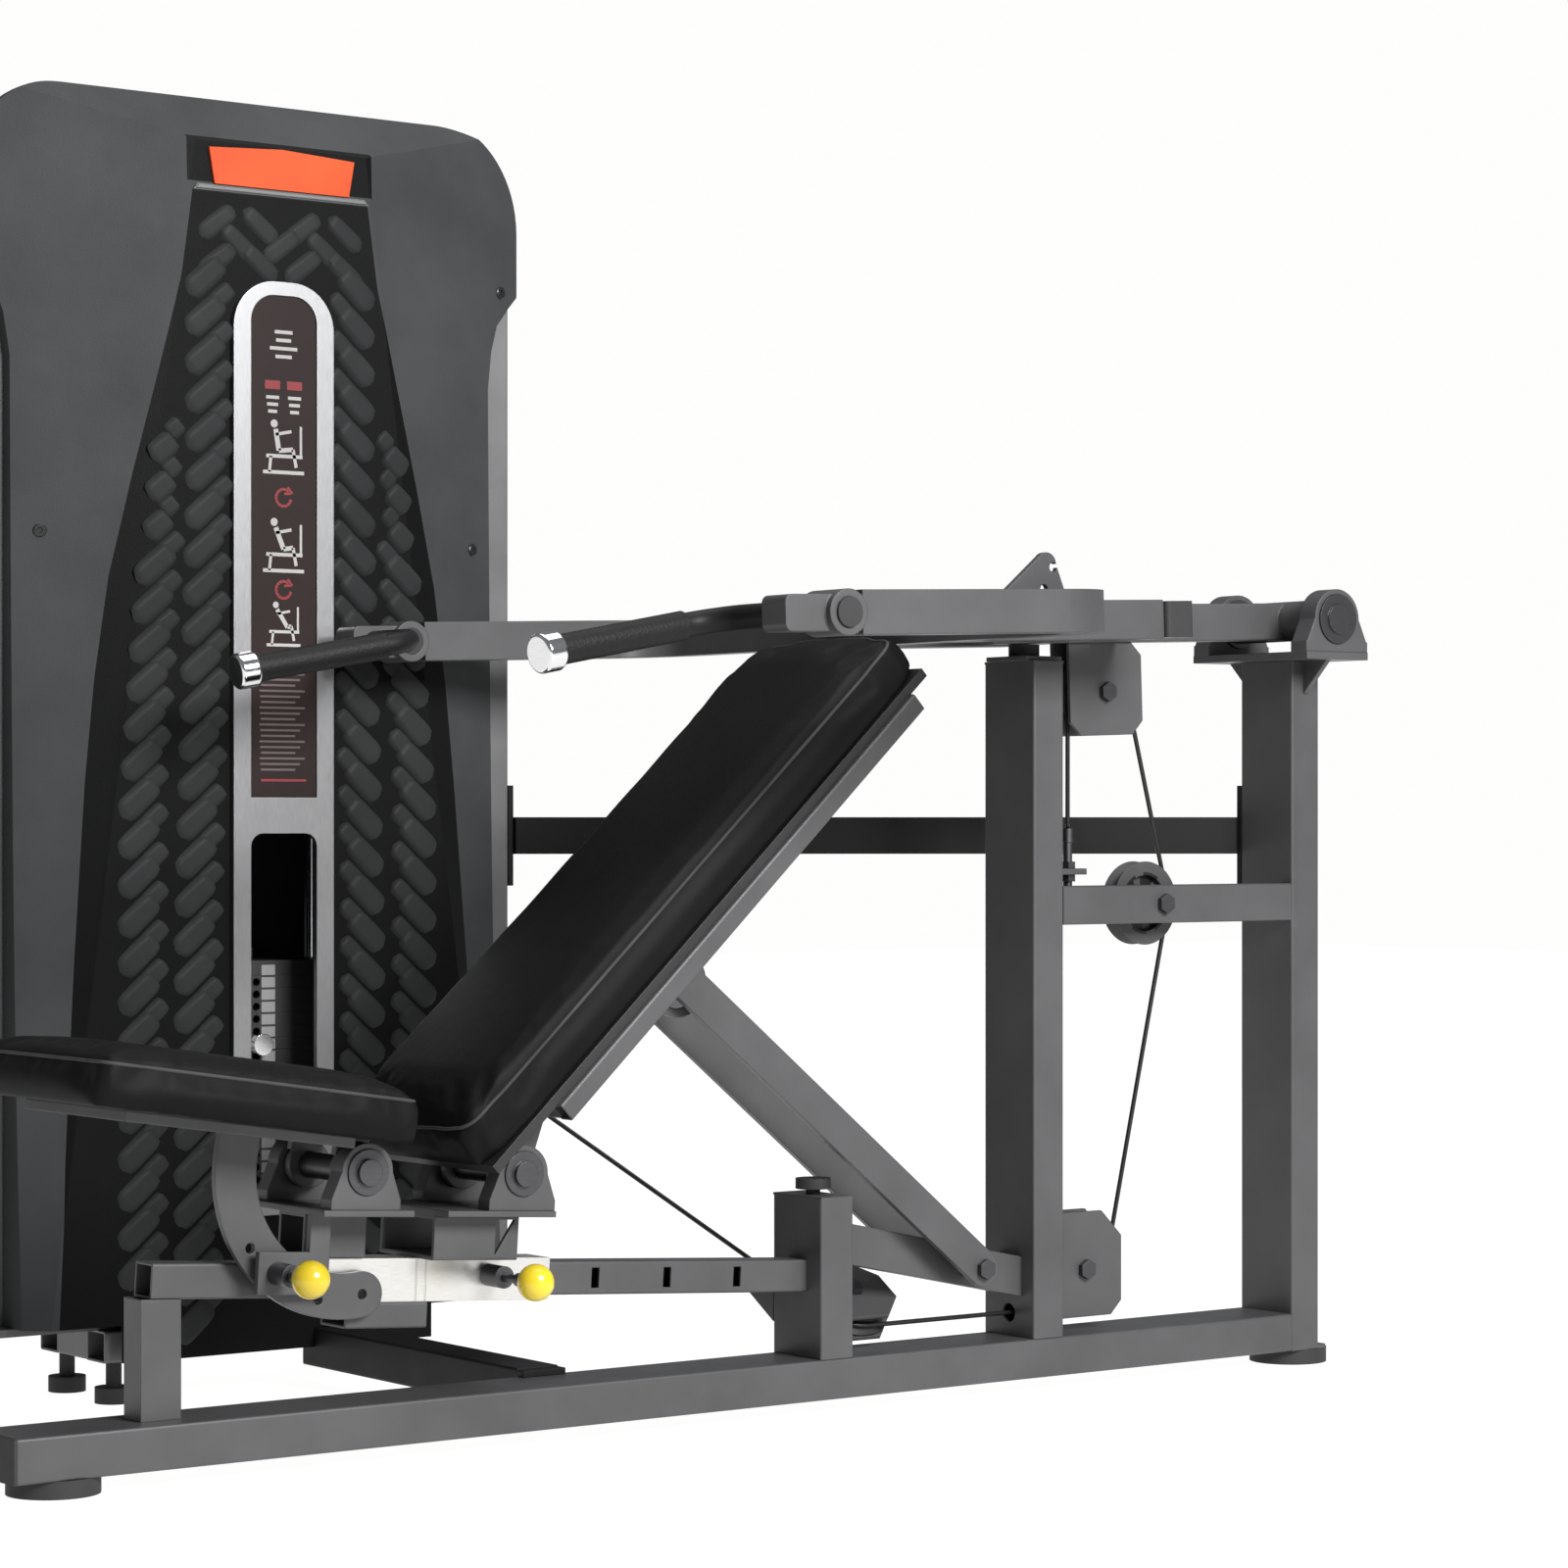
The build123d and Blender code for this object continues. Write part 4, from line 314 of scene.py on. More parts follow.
def axes(tree):
    """The coordinates X, Y and Z of the shaded point."""
    split = tree.nodes.new("ShaderNodeSeparateXYZ")
    tree.links.new(coords(tree), split.inputs["Vector"])
    return split.outputs["X"], split.outputs["Y"], split.outputs["Z"]


def tint(mat, mask, colour):
    """Lay a second colour over a material where the mask is 1."""
    tree = mat.node_tree
    shader = tree.nodes["Principled BSDF"]
    before = shader.inputs["Base Color"].links[0].from_socket
    mix = tree.nodes.new("ShaderNodeMix")
    mix.data_type = "RGBA"
    tree.links.new(mask, mix.inputs["Factor"])
    tree.links.new(before, mix.inputs["A"])
    mix.inputs["B"].default_value = (*colour, 1)
    tree.links.new(mix.outputs["Result"], shader.inputs["Base Color"])


# The tower's dark centre, in metres: its half width by height, its middle and its front
PANEL_EDGE = ((0.056, 0.315), (0.30, 0.303), (0.55, 0.287), (0.781, 0.270), (0.911, 0.257),
              (1.041, 0.238), (1.169, 0.208), (1.298, 0.175), (1.426, 0.143), (1.532, 0.128))
PANEL_TOP = PANEL_EDGE[-1][0]
TOWER_X = -0.410 + SHIFT_X
PANEL_Y = 0.530 + SHIFT_Y
PANEL_REACH = 0.05      # what lies less than this behind the front takes the dark colour
BADGE_HALF = 0.135      # the dark band round the badge: its half width, bottom and top
BADGE_LOW = 1.544
BADGE_HIGH = 1.602
CURVE_HEIGHT = 2.0      # height that the float curve's range of 0 to 1 stands for


def panel_half(z):
    for (z0, h0), (z1, h1) in zip(PANEL_EDGE, PANEL_EDGE[1:]):
        if z <= z1:
            return h0 + (h1 - h0) * (z - z0) / (z1 - z0)
    return PANEL_EDGE[-1][1]


def panel_mask(tree):
    """1 on the front of the tower's dark centre and of the band round its badge."""
    x, y, z = axes(tree)
    across = join(tree, "ABSOLUTE", join(tree, "SUBTRACT", x, TOWER_X))
    edge = tree.nodes.new("ShaderNodeFloatCurve")
    curve = edge.mapping.curves[0]
    curve.points[0].location = (0, PANEL_EDGE[0][1])
    curve.points[1].location = (1, PANEL_EDGE[-1][1])
    for height, half in PANEL_EDGE:
        point = curve.points.new(height / CURVE_HEIGHT, half)
        point.handle_type = "VECTOR"
    edge.mapping.update()
    tree.links.new(join(tree, "DIVIDE", z, CURVE_HEIGHT), edge.inputs["Value"])
    centre = product(tree, join(tree, "LESS_THAN", across, edge.outputs["Value"]),
                     join(tree, "LESS_THAN", z, PANEL_TOP))
    band = product(tree, join(tree, "LESS_THAN", across, BADGE_HALF),
                   join(tree, "GREATER_THAN", z, BADGE_LOW), join(tree, "LESS_THAN", z, BADGE_HIGH))
    facing = join(tree, "LESS_THAN", y, PANEL_Y + PANEL_REACH)
    return product(tree, join(tree, "MAXIMUM", band, centre), facing)


tint(shell, panel_mask(shell.node_tree), (0.0042, 0.0043, 0.0045))

BALL_LENGTH = 0.036     # yellow end of each bench pin; the rest of the pin is steel


def face_look(node, look, test):
    """Give a second look to the faces of a node whose centre passes the test."""
    data = nodes[node].data
    data.materials.append(look)
    index = len(data.materials) - 1
    for face in data.polygons:
        if test(face.center):
            face.material_index = index


for name in ("slide_pin", "seat_pin"):
    tip = min(v.co.y for v in nodes[name].data.vertices)
    face_look(name, dark_steel, lambda c, tip=tip: c.y > tip + BALL_LENGTH)

# Spoked pulleys, their pockets darkened as painted shade: number of spokes, how wide the pockets
# are, and their ends in shares of the radius
SPOKES = 6.0
POCKET_LEVEL = -0.45
POCKET_OUTSIDE = 0.74
POCKET_INSIDE = 0.30


def spoked(node):
    """Pulley with a lighter rim and spokes round pockets darkened as painted shade, painted about
    its own axle.
    """
    verts = [v.co for v in nodes[node].data.vertices]
    left, right = min(v.x for v in verts), max(v.x for v in verts)
    low, high = min(v.z for v in verts), max(v.z for v in verts)
    radius = (right - left) / 2
    mat = moulded(node + "_look", (0.050, 0.050, 0.051), rough=0.45)
    tree = mat.node_tree
    x, _, z = axes(tree)
    dx = join(tree, "SUBTRACT", x, (left + right) / 2)
    dz = join(tree, "SUBTRACT", z, (low + high) / 2)
    squares = join(tree, "ADD", join(tree, "MULTIPLY", dx, dx), join(tree, "MULTIPLY", dz, dz))
    reach = join(tree, "SQRT", squares)
    wave = join(tree, "SINE", join(tree, "MULTIPLY", join(tree, "ARCTAN2", dz, dx), SPOKES))
    pocket_shade = product(tree, join(tree, "GREATER_THAN", wave, POCKET_LEVEL),
                     join(tree, "LESS_THAN", reach, radius * POCKET_OUTSIDE),
                     join(tree, "GREATER_THAN", reach, radius * POCKET_INSIDE))
    # Painted shade: the pockets take a near-black colour in place of the shadow in their recesses
    tint(mat, pocket_shade, (0.004, 0.004, 0.0042))
    nodes[node].data.materials[0] = mat


for name in ("arm_pulley", "guide_pulley", "lower_pulley"):
    spoked(name)


def piece(name, mesh, look, body):
    obj = bpy.data.objects.new(name, mesh)
    scene.collection.objects.link(obj)
    mesh.materials.clear()
    mesh.materials.append(look)
    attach(obj, body)
    return obj


def shade_smooth(mesh):
    mesh.polygons.foreach_set("use_smooth", [True] * len(mesh.polygons))
    mesh.update()


def mesh_from(name, bm):
    """Mesh from a bmesh, which is freed."""
    mesh = bpy.data.meshes.new(name)
    bm.to_mesh(mesh)
    bm.free()
    return mesh


SAME = 0.00001          # metres; places nearer than this count as the same

# Cushions, in metres
PAD_VOXEL = 0.006
SOLE_DEPTH = 0.006      # the pad is held where it lies less than this over its board
SWELL_LIMIT = 0.005
PAD_PRESSURE = 4.0
CLOTH_FRAMES = 20


def loose_parts(node):
    """Meshes of a node's separate solids, largest box first."""
    bm = bmesh.new()
    bm.from_mesh(nodes[node].data)
    bmesh.ops.remove_doubles(bm, verts=bm.verts, dist=SAME)
    seen = set()
    groups = []
    for vert in bm.verts:
        if vert in seen:
            continue
        stack = [vert]
        seen.add(vert)
        group = []
        while stack:
            here = stack.pop()
            group.append(here)
            for edge in here.link_edges:
                other = edge.other_vert(here)
                if other not in seen:
                    seen.add(other)
                    stack.append(other)
        groups.append(group)
    meshes = []
    for group in groups:
        index = {vert: i for i, vert in enumerate(group)}
        faces = {face for vert in group for face in vert.link_faces}
        mesh = bpy.data.meshes.new(node + "_solid")
        mesh.from_pydata([vert.co[:] for vert in group], [],
                         [[index[v] for v in face.verts] for face in faces])
        mesh.update()
        size = [max(v.co[i] for v in group) - min(v.co[i] for v in group) for i in range(3)]
        meshes.append((size[0] * size[1] * size[2], mesh))
    bm.free()
    meshes.sort(key=lambda item: -item[0])
    return [mesh for _, mesh in meshes]


def evaluated(obj):
    """The object with its modifiers as they stand now."""
    return obj.evaluated_get(bpy.context.evaluated_depsgraph_get())


def inflate(mesh, sole_point, normal):
    """Foam pad under its cover: the sole stays on its board, and pressure swells the rest."""
    obj = bpy.data.objects.new("pad_work", mesh)
    scene.collection.objects.link(obj)
    remesh = obj.modifiers.new("remesh", "REMESH")
    remesh.mode = "VOXEL"
    remesh.voxel_size = PAD_VOXEL
    fine = bpy.data.meshes.new_from_object(evaluated(obj))
    obj.modifiers.clear()
    obj.data = fine
    rest = [v.co.copy() for v in fine.vertices]
    group = obj.vertex_groups.new(name="sole")
    held = [i for i, p in enumerate(rest) if (p - sole_point).dot(normal) < SOLE_DEPTH]
    group.add(held, 1.0, "REPLACE")
    cloth = obj.modifiers.new("cloth", "CLOTH")
    settings = cloth.settings
    settings.vertex_group_mass = "sole"
    settings.use_pressure = True
    settings.uniform_pressure_force = PAD_PRESSURE
    settings.effector_weights.gravity = 0
    settings.tension_stiffness = 30
    settings.compression_stiffness = 30
    settings.shear_stiffness = 15
    settings.bending_stiffness = 8
    settings.quality = 4
    cloth.collision_settings.use_collision = False
    cloth.point_cache.frame_start = 1
    cloth.point_cache.frame_end = CLOTH_FRAMES
    for step in range(1, CLOTH_FRAMES + 1):
        scene.frame_set(step)
        evaluated(obj).to_mesh()
    swollen = bpy.data.meshes.new_from_object(evaluated(obj))
    for i, vert in enumerate(swollen.vertices):
        move = vert.co - rest[i]
        if move.length > SWELL_LIMIT:
            move = move * (SWELL_LIMIT / move.length)
        fine.vertices[i].co = rest[i] + move
    scene.frame_set(1)
    obj.modifiers.clear()
    smooth = obj.modifiers.new("smooth", "SMOOTH")
    smooth.factor = 0.5
    smooth.iterations = 3
    finer = obj.modifiers.new("finer", "SUBSURF")
    finer.levels = 1
    finer.render_levels = 1
    done = bpy.data.meshes.new_from_object(evaluated(obj))
    bpy.data.objects.remove(obj)
    shade_smooth(done)
    return done


def tilted(angle):
    """Upward normal of a surface that rises by the angle, in degrees, towards +X."""
    a = math.radians(angle)
    return Vector((-math.sin(a), 0, math.cos(a)))


# Each cushion's hinge line, the normal of its board, and the height over the hinge line of its
# sole and of its piping, in metres
BACK_HINGE = at(-437.05, 0, 325.78)
BACK_NORMAL = tilted(43)
BACK_SOLE = 0.060
BACK_PIPING = 0.113
SEAT_HINGE = at(-645.88, 0, 338.18)
SEAT_NORMAL = tilted(-8.5)
SEAT_SOLE = 0.037
SEAT_PIPING = 0.085

pad_solid, board_solid = loose_parts("backrest_cushion")
pad_mesh = inflate(pad_solid, BACK_HINGE + BACK_NORMAL * BACK_SOLE, BACK_NORMAL)
back_pad = piece("backrest_pad", pad_mesh, pad_vinyl, "backrest")
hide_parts("backrest_cushion")
piece("backrest_board", board_solid, black_plastic, "backrest")

pad_solid = loose_parts("seat_cushion")[0]
pad_mesh = inflate(pad_solid, SEAT_HINGE + SEAT_NORMAL * SEAT_SOLE, SEAT_NORMAL)
seat_pad = piece("seat_pad", pad_mesh, pad_vinyl, "seat")
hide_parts("seat_cushion")

# Cables whose length changes, in metres
CABLE_RADIUS = 0.003
CABLE_SIDES = 12
CABLE_STEPS = 24
END_SLICE = 0.004       # vertices nearer than this to a cable's end belong to that end


def turns(sides):
    """Angles of the corners of a regular outline."""
    return [2 * math.pi * k / sides for k in range(sides)]


def skin(bm, rings):
    """Close a row of rings of vertices into one solid."""
    sides = len(rings[0])
    for a, b in zip(rings, rings[1:]):
        for k in range(sides):
            bm.faces.new((a[k], a[(k + 1) % sides], b[(k + 1) % sides], b[k]))
    bm.faces.new(list(reversed(rings[0])))
    bm.faces.new(rings[-1])


def tube_mesh(name, points, radius, sides):
    """Round tube through the points, closed at both ends."""
    bm = bmesh.new()
    rings = []
    for i, p in enumerate(points):
        ahead = points[min(i + 1, len(points) - 1)] - points[max(i - 1, 0)]
        z = ahead.normalized()
        x = z.orthogonal().normalized() if i == 0 else (x - z * x.dot(z)).normalized()
        y = z.cross(x)
        rings.append([bm.verts.new(p + (x * math.cos(t) + y * math.sin(t)) * radius)
                      for t in turns(sides)])
    skin(bm, rings)
    mesh = mesh_from(name, bm)
    shade_smooth(mesh)
    return mesh


def stretched(name, node, start, end):
    """Straight cable between two given points, in place of a hidden cable node."""
    points = [start.lerp(end, i / CABLE_STEPS) for i in range(CABLE_STEPS + 1)]
    obj = bpy.data.objects.new(name, tube_mesh(name, points, CABLE_RADIUS, CABLE_SIDES))
    scene.collection.objects.link(obj)
    obj.data.materials.append(jacket)
    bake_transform(obj)
    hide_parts(node)


def centre(points):
    return sum(points, Vector()) / len(points)


def cable_ends(node):
    """Centres of a straight cable's two ends, lowest first."""
    verts = [v.co for v in nodes[node].data.vertices]
    low = min(v.z for v in verts)
    high = max(v.z for v in verts)
    return (centre([v for v in verts if v.z < low + END_SLICE]),
            centre([v for v in verts if v.z > high - END_SLICE]))


low, high = cable_ends("cable_anchor_run")
stretched("cable_anchor_stretch", "cable_anchor_run", low, high)
low, high = cable_ends("cable_guide_run")
stretched("cable_guide_stretch", "cable_guide_run", low, high)
low, high = cable_ends("cable_stack_run")
stretched("cable_stack_stretch", "cable_stack_run", high, low)

# Tower surface detail


def solid_mesh(name, outline, y, thick, bevel=0.0):
    """Plate from an outline of (x, z) points in metres, its front at y."""
    bm = bmesh.new()
    face = bm.faces.new([bm.verts.new((x, y + thick, z)) for x, z in outline])
    grown = bmesh.ops.extrude_face_region(bm, geom=[face])
    front = [item for item in grown["geom"] if isinstance(item, bmesh.types.BMVert)]
    bmesh.ops.translate(bm, verts=front, vec=(0, -thick, 0))
    bmesh.ops.recalc_face_normals(bm, faces=bm.faces)
    if bevel:
        edges = [e for e in bm.edges if all(abs(v.co.y - y) < SAME for v in e.verts)]
        bmesh.ops.bevel(bm, geom=edges, offset=bevel, segments=2, affect="EDGES")
    return mesh_from(name, bm)


def merged(name, meshes):
    """One mesh from several, which are removed."""
    bm = bmesh.new()
    for mesh in meshes:
        bm.from_mesh(mesh)
    result = mesh_from(name, bm)
    for mesh in meshes:
        bpy.data.meshes.remove(mesh)
    return result


# One scale of the plaited relief: cells along and across it, and how far it is sunk in the panel
SCALE_ROWS = 9
SCALE_COLUMNS = 7
SCALE_SUNK = 0.0004


def scale_mesh(x, z, length, width, angle, rise):
    """One swollen scale of the plaited relief, lying on the panel at (x, z)."""
    a = math.radians(angle)
    bm = bmesh.new()
    grid = []
    for i in range(SCALE_ROWS + 1):
        line = []
        for j in range(SCALE_COLUMNS + 1):
            u = -1 + 2 * i / SCALE_ROWS
            v = -1 + 2 * j / SCALE_COLUMNS
            round_u = math.copysign(abs(u) ** 0.8, u)
            narrow = (1 - abs(round_u) ** 6) ** 0.5
            along = round_u * length / 2
            side = v * width / 2 * max(narrow, 0.2)
            crest = 0.70 + 0.30 * math.copysign(round_u, round_u * angle)
            lift = rise * crest * (1 - abs(round_u) ** 8) ** 0.5 * (1 - abs(v) ** 8) ** 0.5
            px = x + along * math.cos(a) - side * math.sin(a)
            pz = z + along * math.sin(a) + side * math.cos(a)
            line.append(bm.verts.new((px, PANEL_Y + SCALE_SUNK - lift, pz)))
        grid.append(line)
    for i in range(SCALE_ROWS):
        for j in range(SCALE_COLUMNS):
            bm.faces.new((grid[i][j], grid[i][j + 1], grid[i + 1][j + 1], grid[i + 1][j]))
    bmesh.ops.recalc_face_normals(bm, faces=bm.faces)
    return mesh_from("scale", bm)


# The relief, in metres: on each side an inner and, lower down, an outer column of scales, each
# place with a large scale and a small one beside it, and rows of flat scales under the badge
PITCH = 0.049
RELIEF_LOW = 0.10
RELIEF_HIGH = 1.50
INNER_HIGH = 1.43
OUTER_LOW = 0.19
OUTER_HIGH = 1.27
PANEL_MARGIN = 0.012
SCALE_REACH = 0.022     # from a place to the far edge of its large scale
LEAST_SHARE = 0.45
SCALE_LEAN = 42
HEAD_ROWS = (1.446, 1.470, 1.494)
HEAD_SPACING = 0.062
HEAD_LEAN = 38


def inner_column(z):
    """Distance of the inner column from the tower's middle."""
    return 0.106 + 0.028 * max(0, 1.17 - z) if z > 0.6 else 0.106 + 0.016


def outer_column(z):
    """Distance of the outer column from the tower's middle."""
    return min(0.200, 0.163 + 0.078 * (1.257 - z))


def scale_pair(side, out, z, share, room):
    """Large and small scale of one place, smaller where the panel's edge is near."""
    if out + SCALE_REACH * share > room:
        share = max(LEAST_SHARE, (room - out) / SCALE_REACH)
    lean = -side * SCALE_LEAN
    return [scale_mesh(TOWER_X + side * (out + 0.004), z, 0.066 * share, 0.034, lean, 0.0085),
            scale_mesh(TOWER_X + side * (out - 0.019 * share), z + 0.026, 0.040 * share, 0.026,
                       lean, 0.0070)]


scales = []
for side in (-1, 1):
    z = RELIEF_LOW
    while z < RELIEF_HIGH:
        room = panel_half(z) - PANEL_MARGIN
        if z < INNER_HIGH:
            scales += scale_pair(side, inner_column(z), z, 1.0, room)
        if OUTER_LOW < z < OUTER_HIGH:
            share = 0.62 if z > 1.10 else 1.0
            scales += scale_pair(side, outer_column(z), z - PITCH / 2, share, room)
        z += PITCH
for row, z in enumerate(HEAD_ROWS):
    count = 3 if row % 2 else 4
    for k in range(count):
        out = (k - (count - 1) / 2) * HEAD_SPACING
        lean = -HEAD_LEAN if (k + row) % 2 else HEAD_LEAN
        scales.append(scale_mesh(TOWER_X + out, z, 0.062, 0.026, lean, 0.0065))
braid = merged("tower_braid", scales)
shade_smooth(braid)
piece("tower_braid", braid, braid_look, "machine_frame")

# Ledge under the badge
ledge = solid_mesh("tower_ledge", [(TOWER_X - 0.128, 1.533), (TOWER_X + 0.128, 1.533),
                                   (TOWER_X + 0.122, 1.541), (TOWER_X - 0.122, 1.541)],
                   PANEL_Y - 0.0045, 0.0050, 0.0018)
piece("tower_ledge", ledge, light_grey, "machine_frame")

# Placard print: bars, figures and turning arrows only
PRINT_Y = min(v.co.y for v in nodes["placard_panel"].data.vertices)
INK_PROUD = 0.00015     # print stands this far before its panel; the rest of it is sunk in
INK_THICK = 0.0003


def printed(name, outline, y=PRINT_Y):
    return solid_mesh(name, outline, y - INK_PROUD, INK_THICK)


def corners(left, low, right, high):
    return [(left, low), (right, low), (right, high), (left, high)]


def bar(x, z, width, height):
    return printed("bar", corners(TOWER_X + x - width / 2, z - height / 2,
                                  TOWER_X + x + width / 2, z + height / 2))


def stroke(x0, z0, x1, z1, width):
    """Straight stroke of the print between two points."""
    a = math.atan2(z1 - z0, x1 - x0)
    dx = -math.sin(a) * width / 2
    dz = math.cos(a) * width / 2
    return printed("stroke", [(TOWER_X + x0 + dx, z0 + dz), (TOWER_X + x0 - dx, z0 - dz),
                              (TOWER_X + x1 - dx, z1 - dz), (TOWER_X + x1 + dx, z1 + dz)])


DOT_SIDES = 16


def dot(x, z, radius):
    return printed("dot", [(TOWER_X + x + radius * math.cos(t), z + radius * math.sin(t))
                           for t in turns(DOT_SIDES)])


# Turning arrow: angles in degrees, strokes in shares of its radius as (x0, z0, x1, z1)
ARROW_START = 50
ARROW_STEP = 25
ARROW_STEPS = 12
ARROW_LINE = 0.34
ARROW_HEAD = ((0.55, 1.25, 1.15, 0.5), (0.1, 0.45, 0.95, 0.55))
ARROW_HEAD_LINE = 0.3


def turn_arrow(z, radius):
    """Open ring with an arrow head, for a change of place."""
    angles = [math.radians(ARROW_START + ARROW_STEP * k) for k in range(ARROW_STEPS + 1)]
    marks = [stroke(radius * math.cos(a), z + radius * math.sin(a), radius * math.cos(b),
                    z + radius * math.sin(b), radius * ARROW_LINE)
             for a, b in zip(angles, angles[1:])]
    for x0, z0, x1, z1 in ARROW_HEAD:
        marks.append(stroke(radius * x0, z + radius * z0, radius * x1, z + radius * z1,
                            radius * ARROW_HEAD_LINE))
    return marks


def figure(z, size, lean_share):
    """Plain seated figure on a bench with a bar in the hands."""
    hip = -0.010 + lean_share
    strokes = ((-0.010, 0.024, hip, 0, 0.006),                  # back
               (hip, 0, 0.012, 0.002, 0.005),                   # thigh
               (0.012, 0.002, 0.016, -0.018, 0.004),            # shin
               (-0.010, 0.018, 0.010, 0.022, 0.0035),           # arm
               (-0.022, -0.006, 0.024, -0.006, 0.004),          # bench
               (-0.016, -0.006, -0.018, -0.024, 0.0035),        # bench's leg
               (-0.026, -0.024, 0.026, -0.024, 0.004),          # floor
               (0.022, 0.028, 0.022, -0.004, 0.003))            # bar in the hands
    marks = [dot(-0.012 * size, z + 0.030 * size, 0.0045 * size)]
    for x0, z0, x1, z1, width in strokes:
        marks.append(stroke(x0 * size, z + z0 * size, x1 * size, z + z1 * size, width * size))
    return marks


white = [bar(0.0, 1.360 - 0.0105 * k, width, 0.0045)
         for k, width in enumerate((0.026, 0.022, 0.040, 0.024))]
red = []
for x in (-0.016, 0.016):
    red.append(bar(x, 1.292, 0.022, 0.011))
    white += [bar(x, 1.276 - 0.009 * k, 0.019 - 0.003 * k, 0.0042) for k in range(3)]
for z, size, lean in ((1.208, 1.15, 0.004), (1.082, 1.15, 0.010), (0.982, 0.95, 0.016)):
    white += figure(z, size, lean)
for z in (1.148, 1.030):
    red += turn_arrow(z, 0.011)
white.append(dot(-0.020, 0.936, 0.004))
white.append(bar(0.004, 0.936, 0.034, 0.0016))
red.append(bar(0.0, 0.786, 0.066, 0.003))

# Faint lines under the figures, in threes of falling length
LINES_HIGH = 0.922
LINES_LOW = 0.795
LINE_PITCH = 0.0072

faint = []
z = LINES_HIGH
while z > LINES_LOW:
    short = len(faint) % 3
    faint.append(bar(-0.002 - 0.003 * short, z, 0.066 - 0.008 * short, 0.0026))
    z -= LINE_PITCH
for suffix, marks, look in (("white", white, ink_white), ("red", red, ink_red),
                            ("faint", faint, ink_faint)):
    name = "placard_marks_" + suffix
    piece(name, merged(name, marks), look, "machine_frame")

# Label strips on the weight plates, in metres
PLATE_PITCH = 0.016
LABEL_OUT = 0.0175      # a label's middle from the stack's middle, and half its width
LABEL_HALF = 0.0100
LABEL_LOW = 0.0008      # its bottom and top over the bottom of its plate
LABEL_HIGH = 0.0140
LABEL_ROOM = 0.012      # a plate with less front than this has no label
FRONT_SLICE = 0.001


def strips(node, body):
    """Two labels on the front of each plate of a stack."""
    verts = [v.co for v in nodes[node].data.vertices]
    front = min(v.y for v in verts)
    heights = [v.z for v in verts if v.y < front + FRONT_SLICE]
    labels = []
    z = min(heights)
    while z + LABEL_ROOM < max(heights):
        for x in (TOWER_X - LABEL_OUT, TOWER_X + LABEL_OUT):
            labels.append(printed("label", corners(x - LABEL_HALF, z + LABEL_LOW,
                                                   x + LABEL_HALF, z + LABEL_HIGH), front))
        z += PLATE_PITCH
    name = node + "_labels"
    piece(name, merged(name, labels), label_grey, body)


strips("resting_plates", "machine_frame")
strips("lifted_stack", "stack")

# Screws in the cover's flanks: places from the tower's middle and floor, in metres
SCREW_PLACES = ((0.377, 1.447), (0.317, 1.096))
SCREW_RADIUS = 0.0085
SCREW_RISE = 0.0022
SCREW_SIDES = 24
SCREW_PROFILE = ((1.0, -0.5), (1.0, 0.6), (0.85, 1.0), (0.45, 1.0), (0.35, 0.2))
BEFORE_TOWER = -2       # Y from which the screws' places are looked for

cover = nodes["tower_front_cover"].data
cover_tree = BVHTree.FromPolygons([v.co[:] for v in cover.vertices],
                                  [f.vertices[:] for f in cover.polygons])


def screw(x, z):
    """Dished screw head lying on the cover where a line along Y meets it."""
    spot, normal, _, _ = cover_tree.ray_cast(Vector((x, BEFORE_TOWER, z)), Vector((0, 1, 0)))
    turn = normal.to_track_quat("Z", "Y").to_matrix().to_4x4()
    bm = bmesh.new()
    rings = []
    for share, up in SCREW_PROFILE:
        radius = SCREW_RADIUS * share
        rings.append([bm.verts.new((radius * math.cos(t), radius * math.sin(t), SCREW_RISE * up))
                      for t in turns(SCREW_SIDES)])
    skin(bm, rings)
    bm.transform(Matrix.Translation(spot) @ turn)
    return mesh_from("screw", bm)


screws = [screw(TOWER_X + side * out, z) for side in (-1, 1) for out, z in SCREW_PLACES]
piece("cover_screws", merged("cover_screws", screws), jacket, "machine_frame")

# Piping round the cushions: sewn piping, its vinyl far lighter than the pad's as a painted
# highlight along the edge
PIPING_RADIUS = 0.0022
PIPING_SIDES = 8
PIPING_STRIDE = 3       # one point of the piping for so many points of the cut


def piping(name, mesh, origin, normal, height, body):
    """Sewn piping where a plane at the given height over the hinge line cuts the pad."""
    bm = bmesh.new()
    bm.from_mesh(mesh)
    cut = bmesh.ops.bisect_plane(bm, geom=bm.verts[:] + bm.edges[:] + bm.faces[:],
                                 plane_co=origin + normal * height, plane_no=normal)
    chain = {}
    for e in cut["geom_cut"]:
        if isinstance(e, bmesh.types.BMEdge):
            for v in e.verts:
                chain.setdefault(v, []).append(e.other_vert(v))
    start = next(iter(chain))
    points = [start.co.copy()]
    before, here = None, start
    while True:
        options = [v for v in chain[here] if v is not before]
        if not options:
            break
        before, here = here, options[0]
        if here is start:
            break
        points.append(here.co.copy())
    bm.free()
    points = points[::PIPING_STRIDE]
    path = [(points[i - 1] + p * 2 + points[(i + 1) % len(points)]) / 4
            for i, p in enumerate(points)]
    path.append(path[0].copy())
    piece(name, tube_mesh(name, path, PIPING_RADIUS, PIPING_SIDES), piping_highlight_vinyl, body)


piping("backrest_piping", back_pad.data, BACK_HINGE, BACK_NORMAL, BACK_PIPING, "backrest")
piping("seat_piping", seat_pad.data, SEAT_HINGE, SEAT_NORMAL, SEAT_PIPING, "seat")

# Studio
FLOOR_HALF = 14

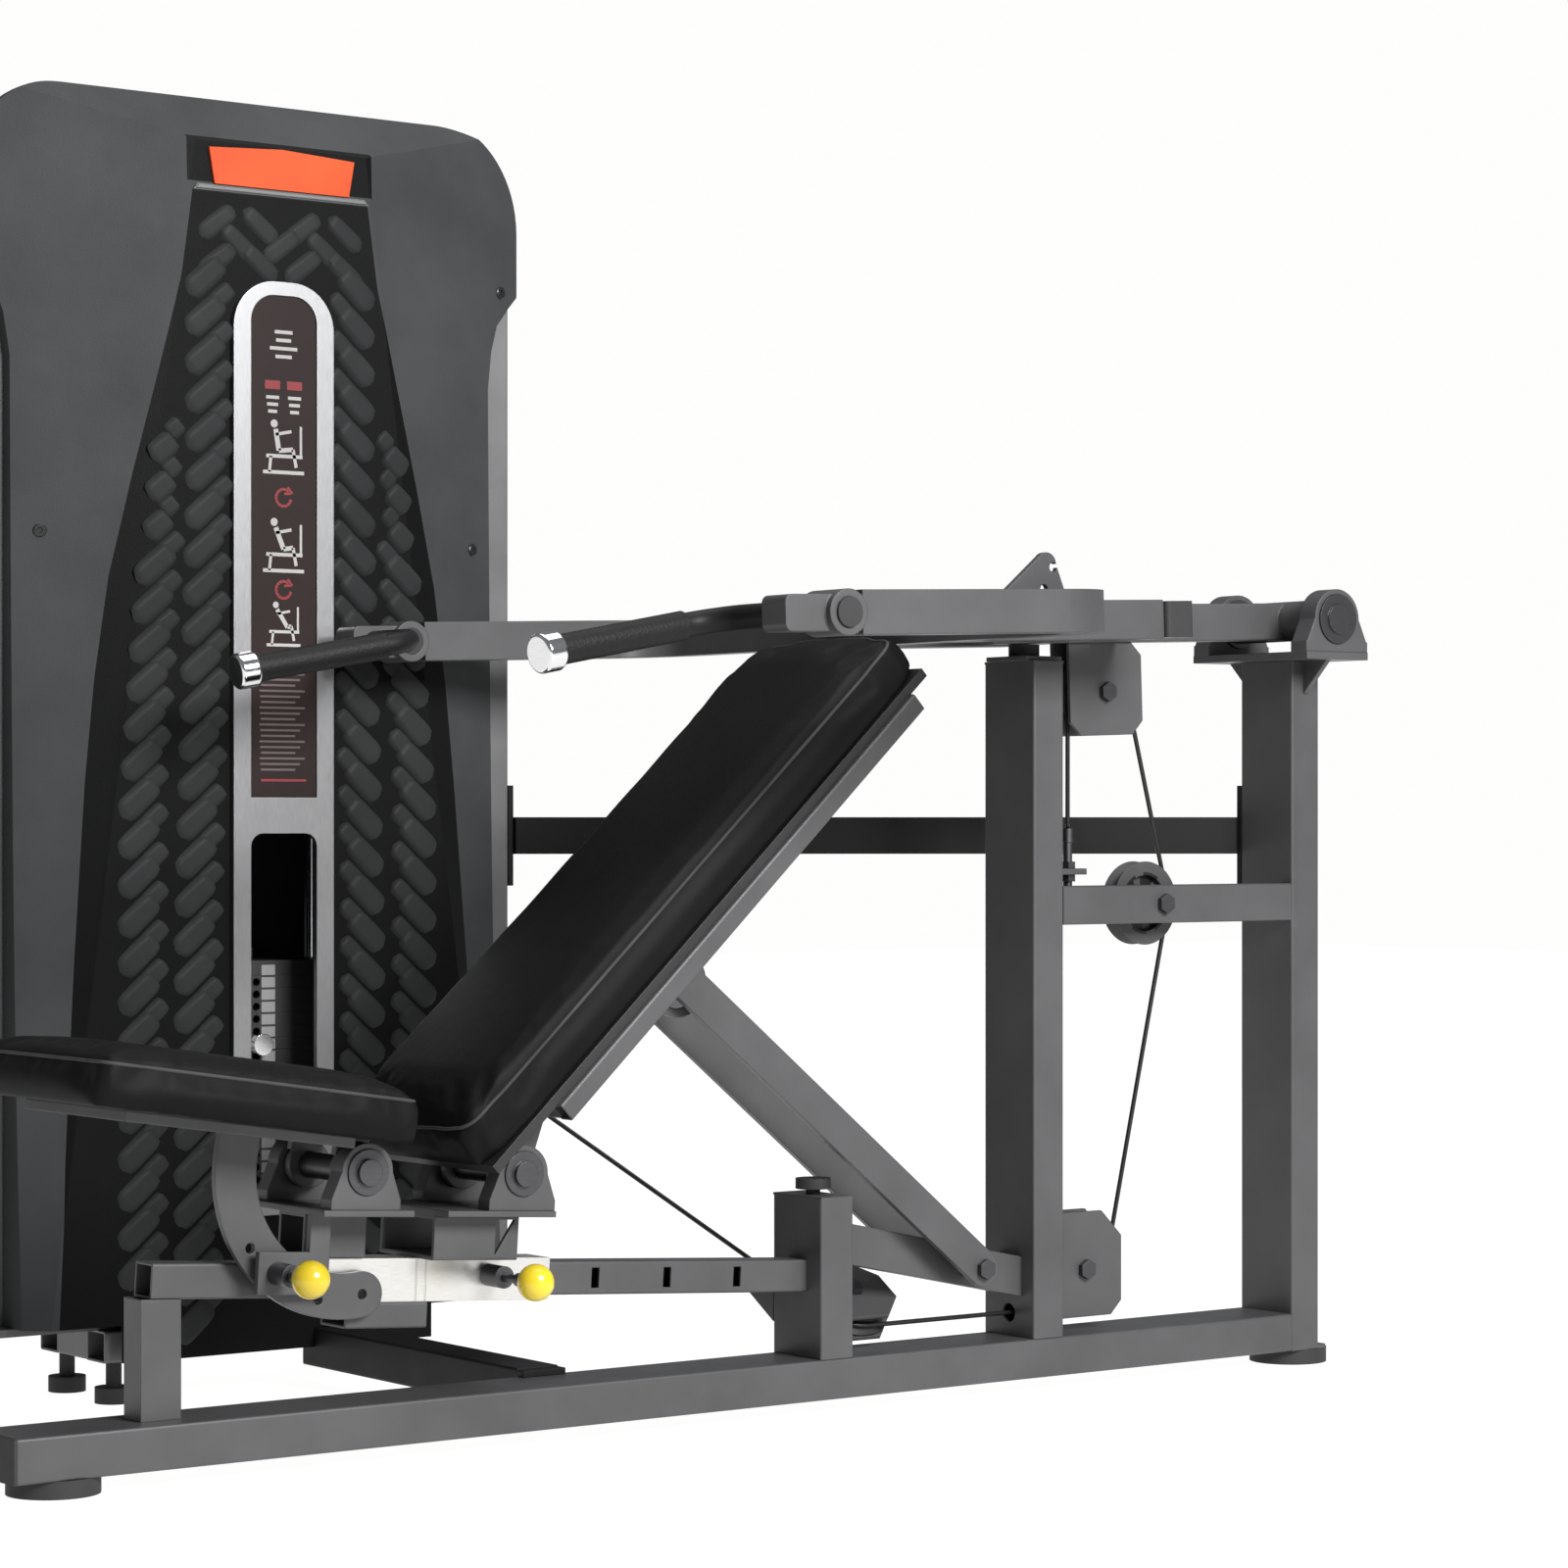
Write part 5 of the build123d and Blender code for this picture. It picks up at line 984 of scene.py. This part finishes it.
floor_mesh = bpy.data.meshes.new("floor")
floor_corners = corners(-FLOOR_HALF, -FLOOR_HALF, FLOOR_HALF, FLOOR_HALF)
floor_mesh.from_pydata([(x, y, 0) for x, y in floor_corners], [], [(0, 1, 2, 3)])
floor = bpy.data.objects.new("floor", floor_mesh)
scene.collection.objects.link(floor)
floor_mat, _, floor_shader = new_material("floor_paint")
floor_shader.inputs["Base Color"].default_value = (0.16, 0.16, 0.16, 1)
floor_shader.inputs["Emission Color"].default_value = (0.95, 0.95, 0.945, 1)
floor_shader.inputs["Emission Strength"].default_value = 1.02
floor_shader.inputs["Roughness"].default_value = 0.95
floor_shader.inputs["Specular IOR Level"].default_value = 0.1
floor_mesh.materials.append(floor_mat)


def background(tree, colour, strength):
    node = tree.nodes.new("ShaderNodeBackground")
    node.inputs["Color"].default_value = (*colour, 1)
    node.inputs["Strength"].default_value = strength
    return node.outputs["Background"]


# The world lights with a dim cool grey and is seen as the photo's near white
world = bpy.data.worlds.new("studio")
scene.world = world
world.use_nodes = True
tree = world.node_tree
tree.nodes.clear()
out = tree.nodes.new("ShaderNodeOutputWorld")
mix = tree.nodes.new("ShaderNodeMixShader")
path = tree.nodes.new("ShaderNodeLightPath")
tree.links.new(path.outputs["Is Camera Ray"], mix.inputs["Fac"])
tree.links.new(background(tree, (0.92, 0.94, 1.0), 0.22), mix.inputs[1])
tree.links.new(background(tree, (0.985, 0.985, 0.98), 1.0), mix.inputs[2])
tree.links.new(mix.outputs["Shader"], out.inputs["Surface"])


def area(name, place, target, size, power):
    """Rectangular lamp that faces its target."""
    data = bpy.data.lights.new(name, "AREA")
    data.shape = "RECTANGLE"
    data.size, data.size_y = size
    data.energy = power
    lamp = bpy.data.objects.new(name, data)
    scene.collection.objects.link(lamp)
    lamp.location = place
    lamp.rotation_euler = (Vector(target) - Vector(place)).to_track_quat("-Z", "Y").to_euler()


area("key", (0.5, -5.4, 3.4), (0.2, 0, 0.7), (2.6, 2.0), 620)
area("top", (0.3, 0.2, 4.6), (0.2, 0, 0.6), (3.5, 3.0), 80)
